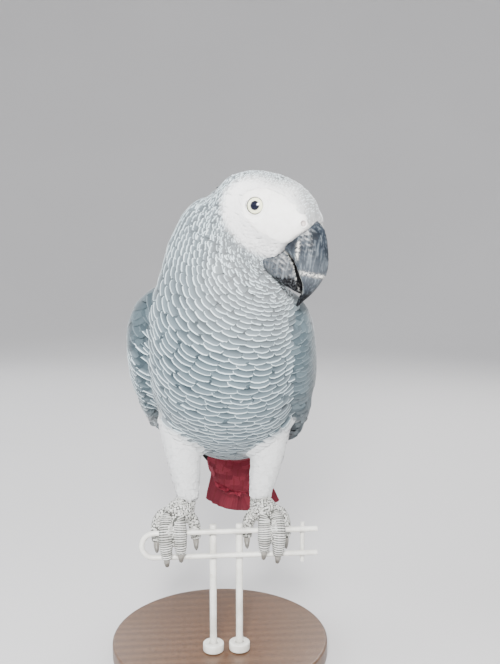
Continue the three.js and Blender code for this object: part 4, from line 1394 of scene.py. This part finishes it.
# ---- Floor, light and camera ----
# A plain pale floor that curves up behind, a broad soft light from near the camera's side, a weaker one
# from the left, two from behind and one above, and a camera at the bird's eye level, tilted down a little.
alone()
bpy.ops.mesh.primitive_circle_add(vertices=96, radius=2.2, fill_type="NGON")
floor = bpy.context.object
floor.name = "floor"
bpy.ops.object.mode_set(mode="EDIT")
bpy.ops.mesh.extrude_region_move(TRANSFORM_OT_translate={"value": (0, 0, 2.6)})
bpy.ops.mesh.delete(type="ONLY_FACE")
bpy.ops.mesh.select_all(action="SELECT")
bpy.ops.mesh.normals_make_consistent(inside=True)
bpy.ops.object.mode_set(mode="OBJECT")
applied(floor, "BEVEL", width=1.0, segments=16, limit_method="ANGLE", angle_limit=radians(60))
bpy.ops.object.shade_smooth()
plaster, add, ramp, mix, maths, bump, shade, read, noise = finish_of(
    "pale_plaster", 0.85, Specular_IOR_Level=0.2)
cloud = noise(add("TexCoord").outputs["Object"], 3.0, 3.0)
shade("Base Color", mix(cloud, (0.52, 0.515, 0.52, 1), (0.56, 0.555, 0.56, 1)))
floor.data.materials.append(plaster)

view_turn, view_drop = radians(5), radians(7)
look = Vector((sin(view_turn), cos(view_turn), 0))
right = Vector((cos(view_turn), -sin(view_turn), 0))
camera_back, camera_right, camera_up = 449, 15.7, 166.5
camera_place = (
    perch_top - look * camera_back * mm + right * camera_right * mm + Vector((0, 0, camera_up)) * mm)


def soft_light(name, place, aim, width, power, colour):
    """A round lamp at a place, turned to shine at another."""
    alone()
    bpy.ops.object.light_add(type="AREA", location=place)
    lamp = bpy.context.object
    lamp.name = name
    lamp.data.shape = "DISK"
    lamp.data.size = width
    lamp.data.energy = power
    lamp.data.color = colour
    lamp.rotation_euler = (Vector(aim) - Vector(place)).to_track_quat("-Z", "Y").to_euler()


breast = perch_top + Vector((0, 0, 110)) * mm
soft_light("key", camera_place + Vector((-0.05, -0.15, 0.22)), breast, 0.16, 15.0, (1, 0.99, 0.975))
soft_light("fill", breast + Vector((-0.9, -0.15, 0.45)), breast, 0.6, 7.0, (0.92, 0.96, 1))
soft_light("rim", breast + Vector((0.5, 0.7, 0.5)), breast, 0.5, 7.0, (1, 0.98, 0.96))
soft_light("back", breast + Vector((-0.5, 0.9, 0.5)), breast, 0.8, 6.0, (0.96, 0.98, 1))
soft_light("ceiling", Vector((0, 0.3, 2.5)), (0, 0.3, 0), 2.6, 45.0, (1, 1, 1))
world = bpy.data.worlds.new("studio")
world.use_nodes = True
background = world.node_tree.nodes["Background"].inputs
background["Color"].default_value = (0.5, 0.52, 0.56, 1)
background["Strength"].default_value = 0.75
bpy.context.scene.world = world

alone()
bpy.ops.object.camera_add(location=camera_place)
camera = bpy.context.object
aim = look * cos(view_drop) - Vector((0, 0, sin(view_drop)))
camera.rotation_euler = aim.to_track_quat("-Z", "Y").to_euler()
camera.data.lens = 45.0
camera.data.sensor_width = 36.0
camera.data.clip_start = 0.01
bpy.context.scene.camera = camera
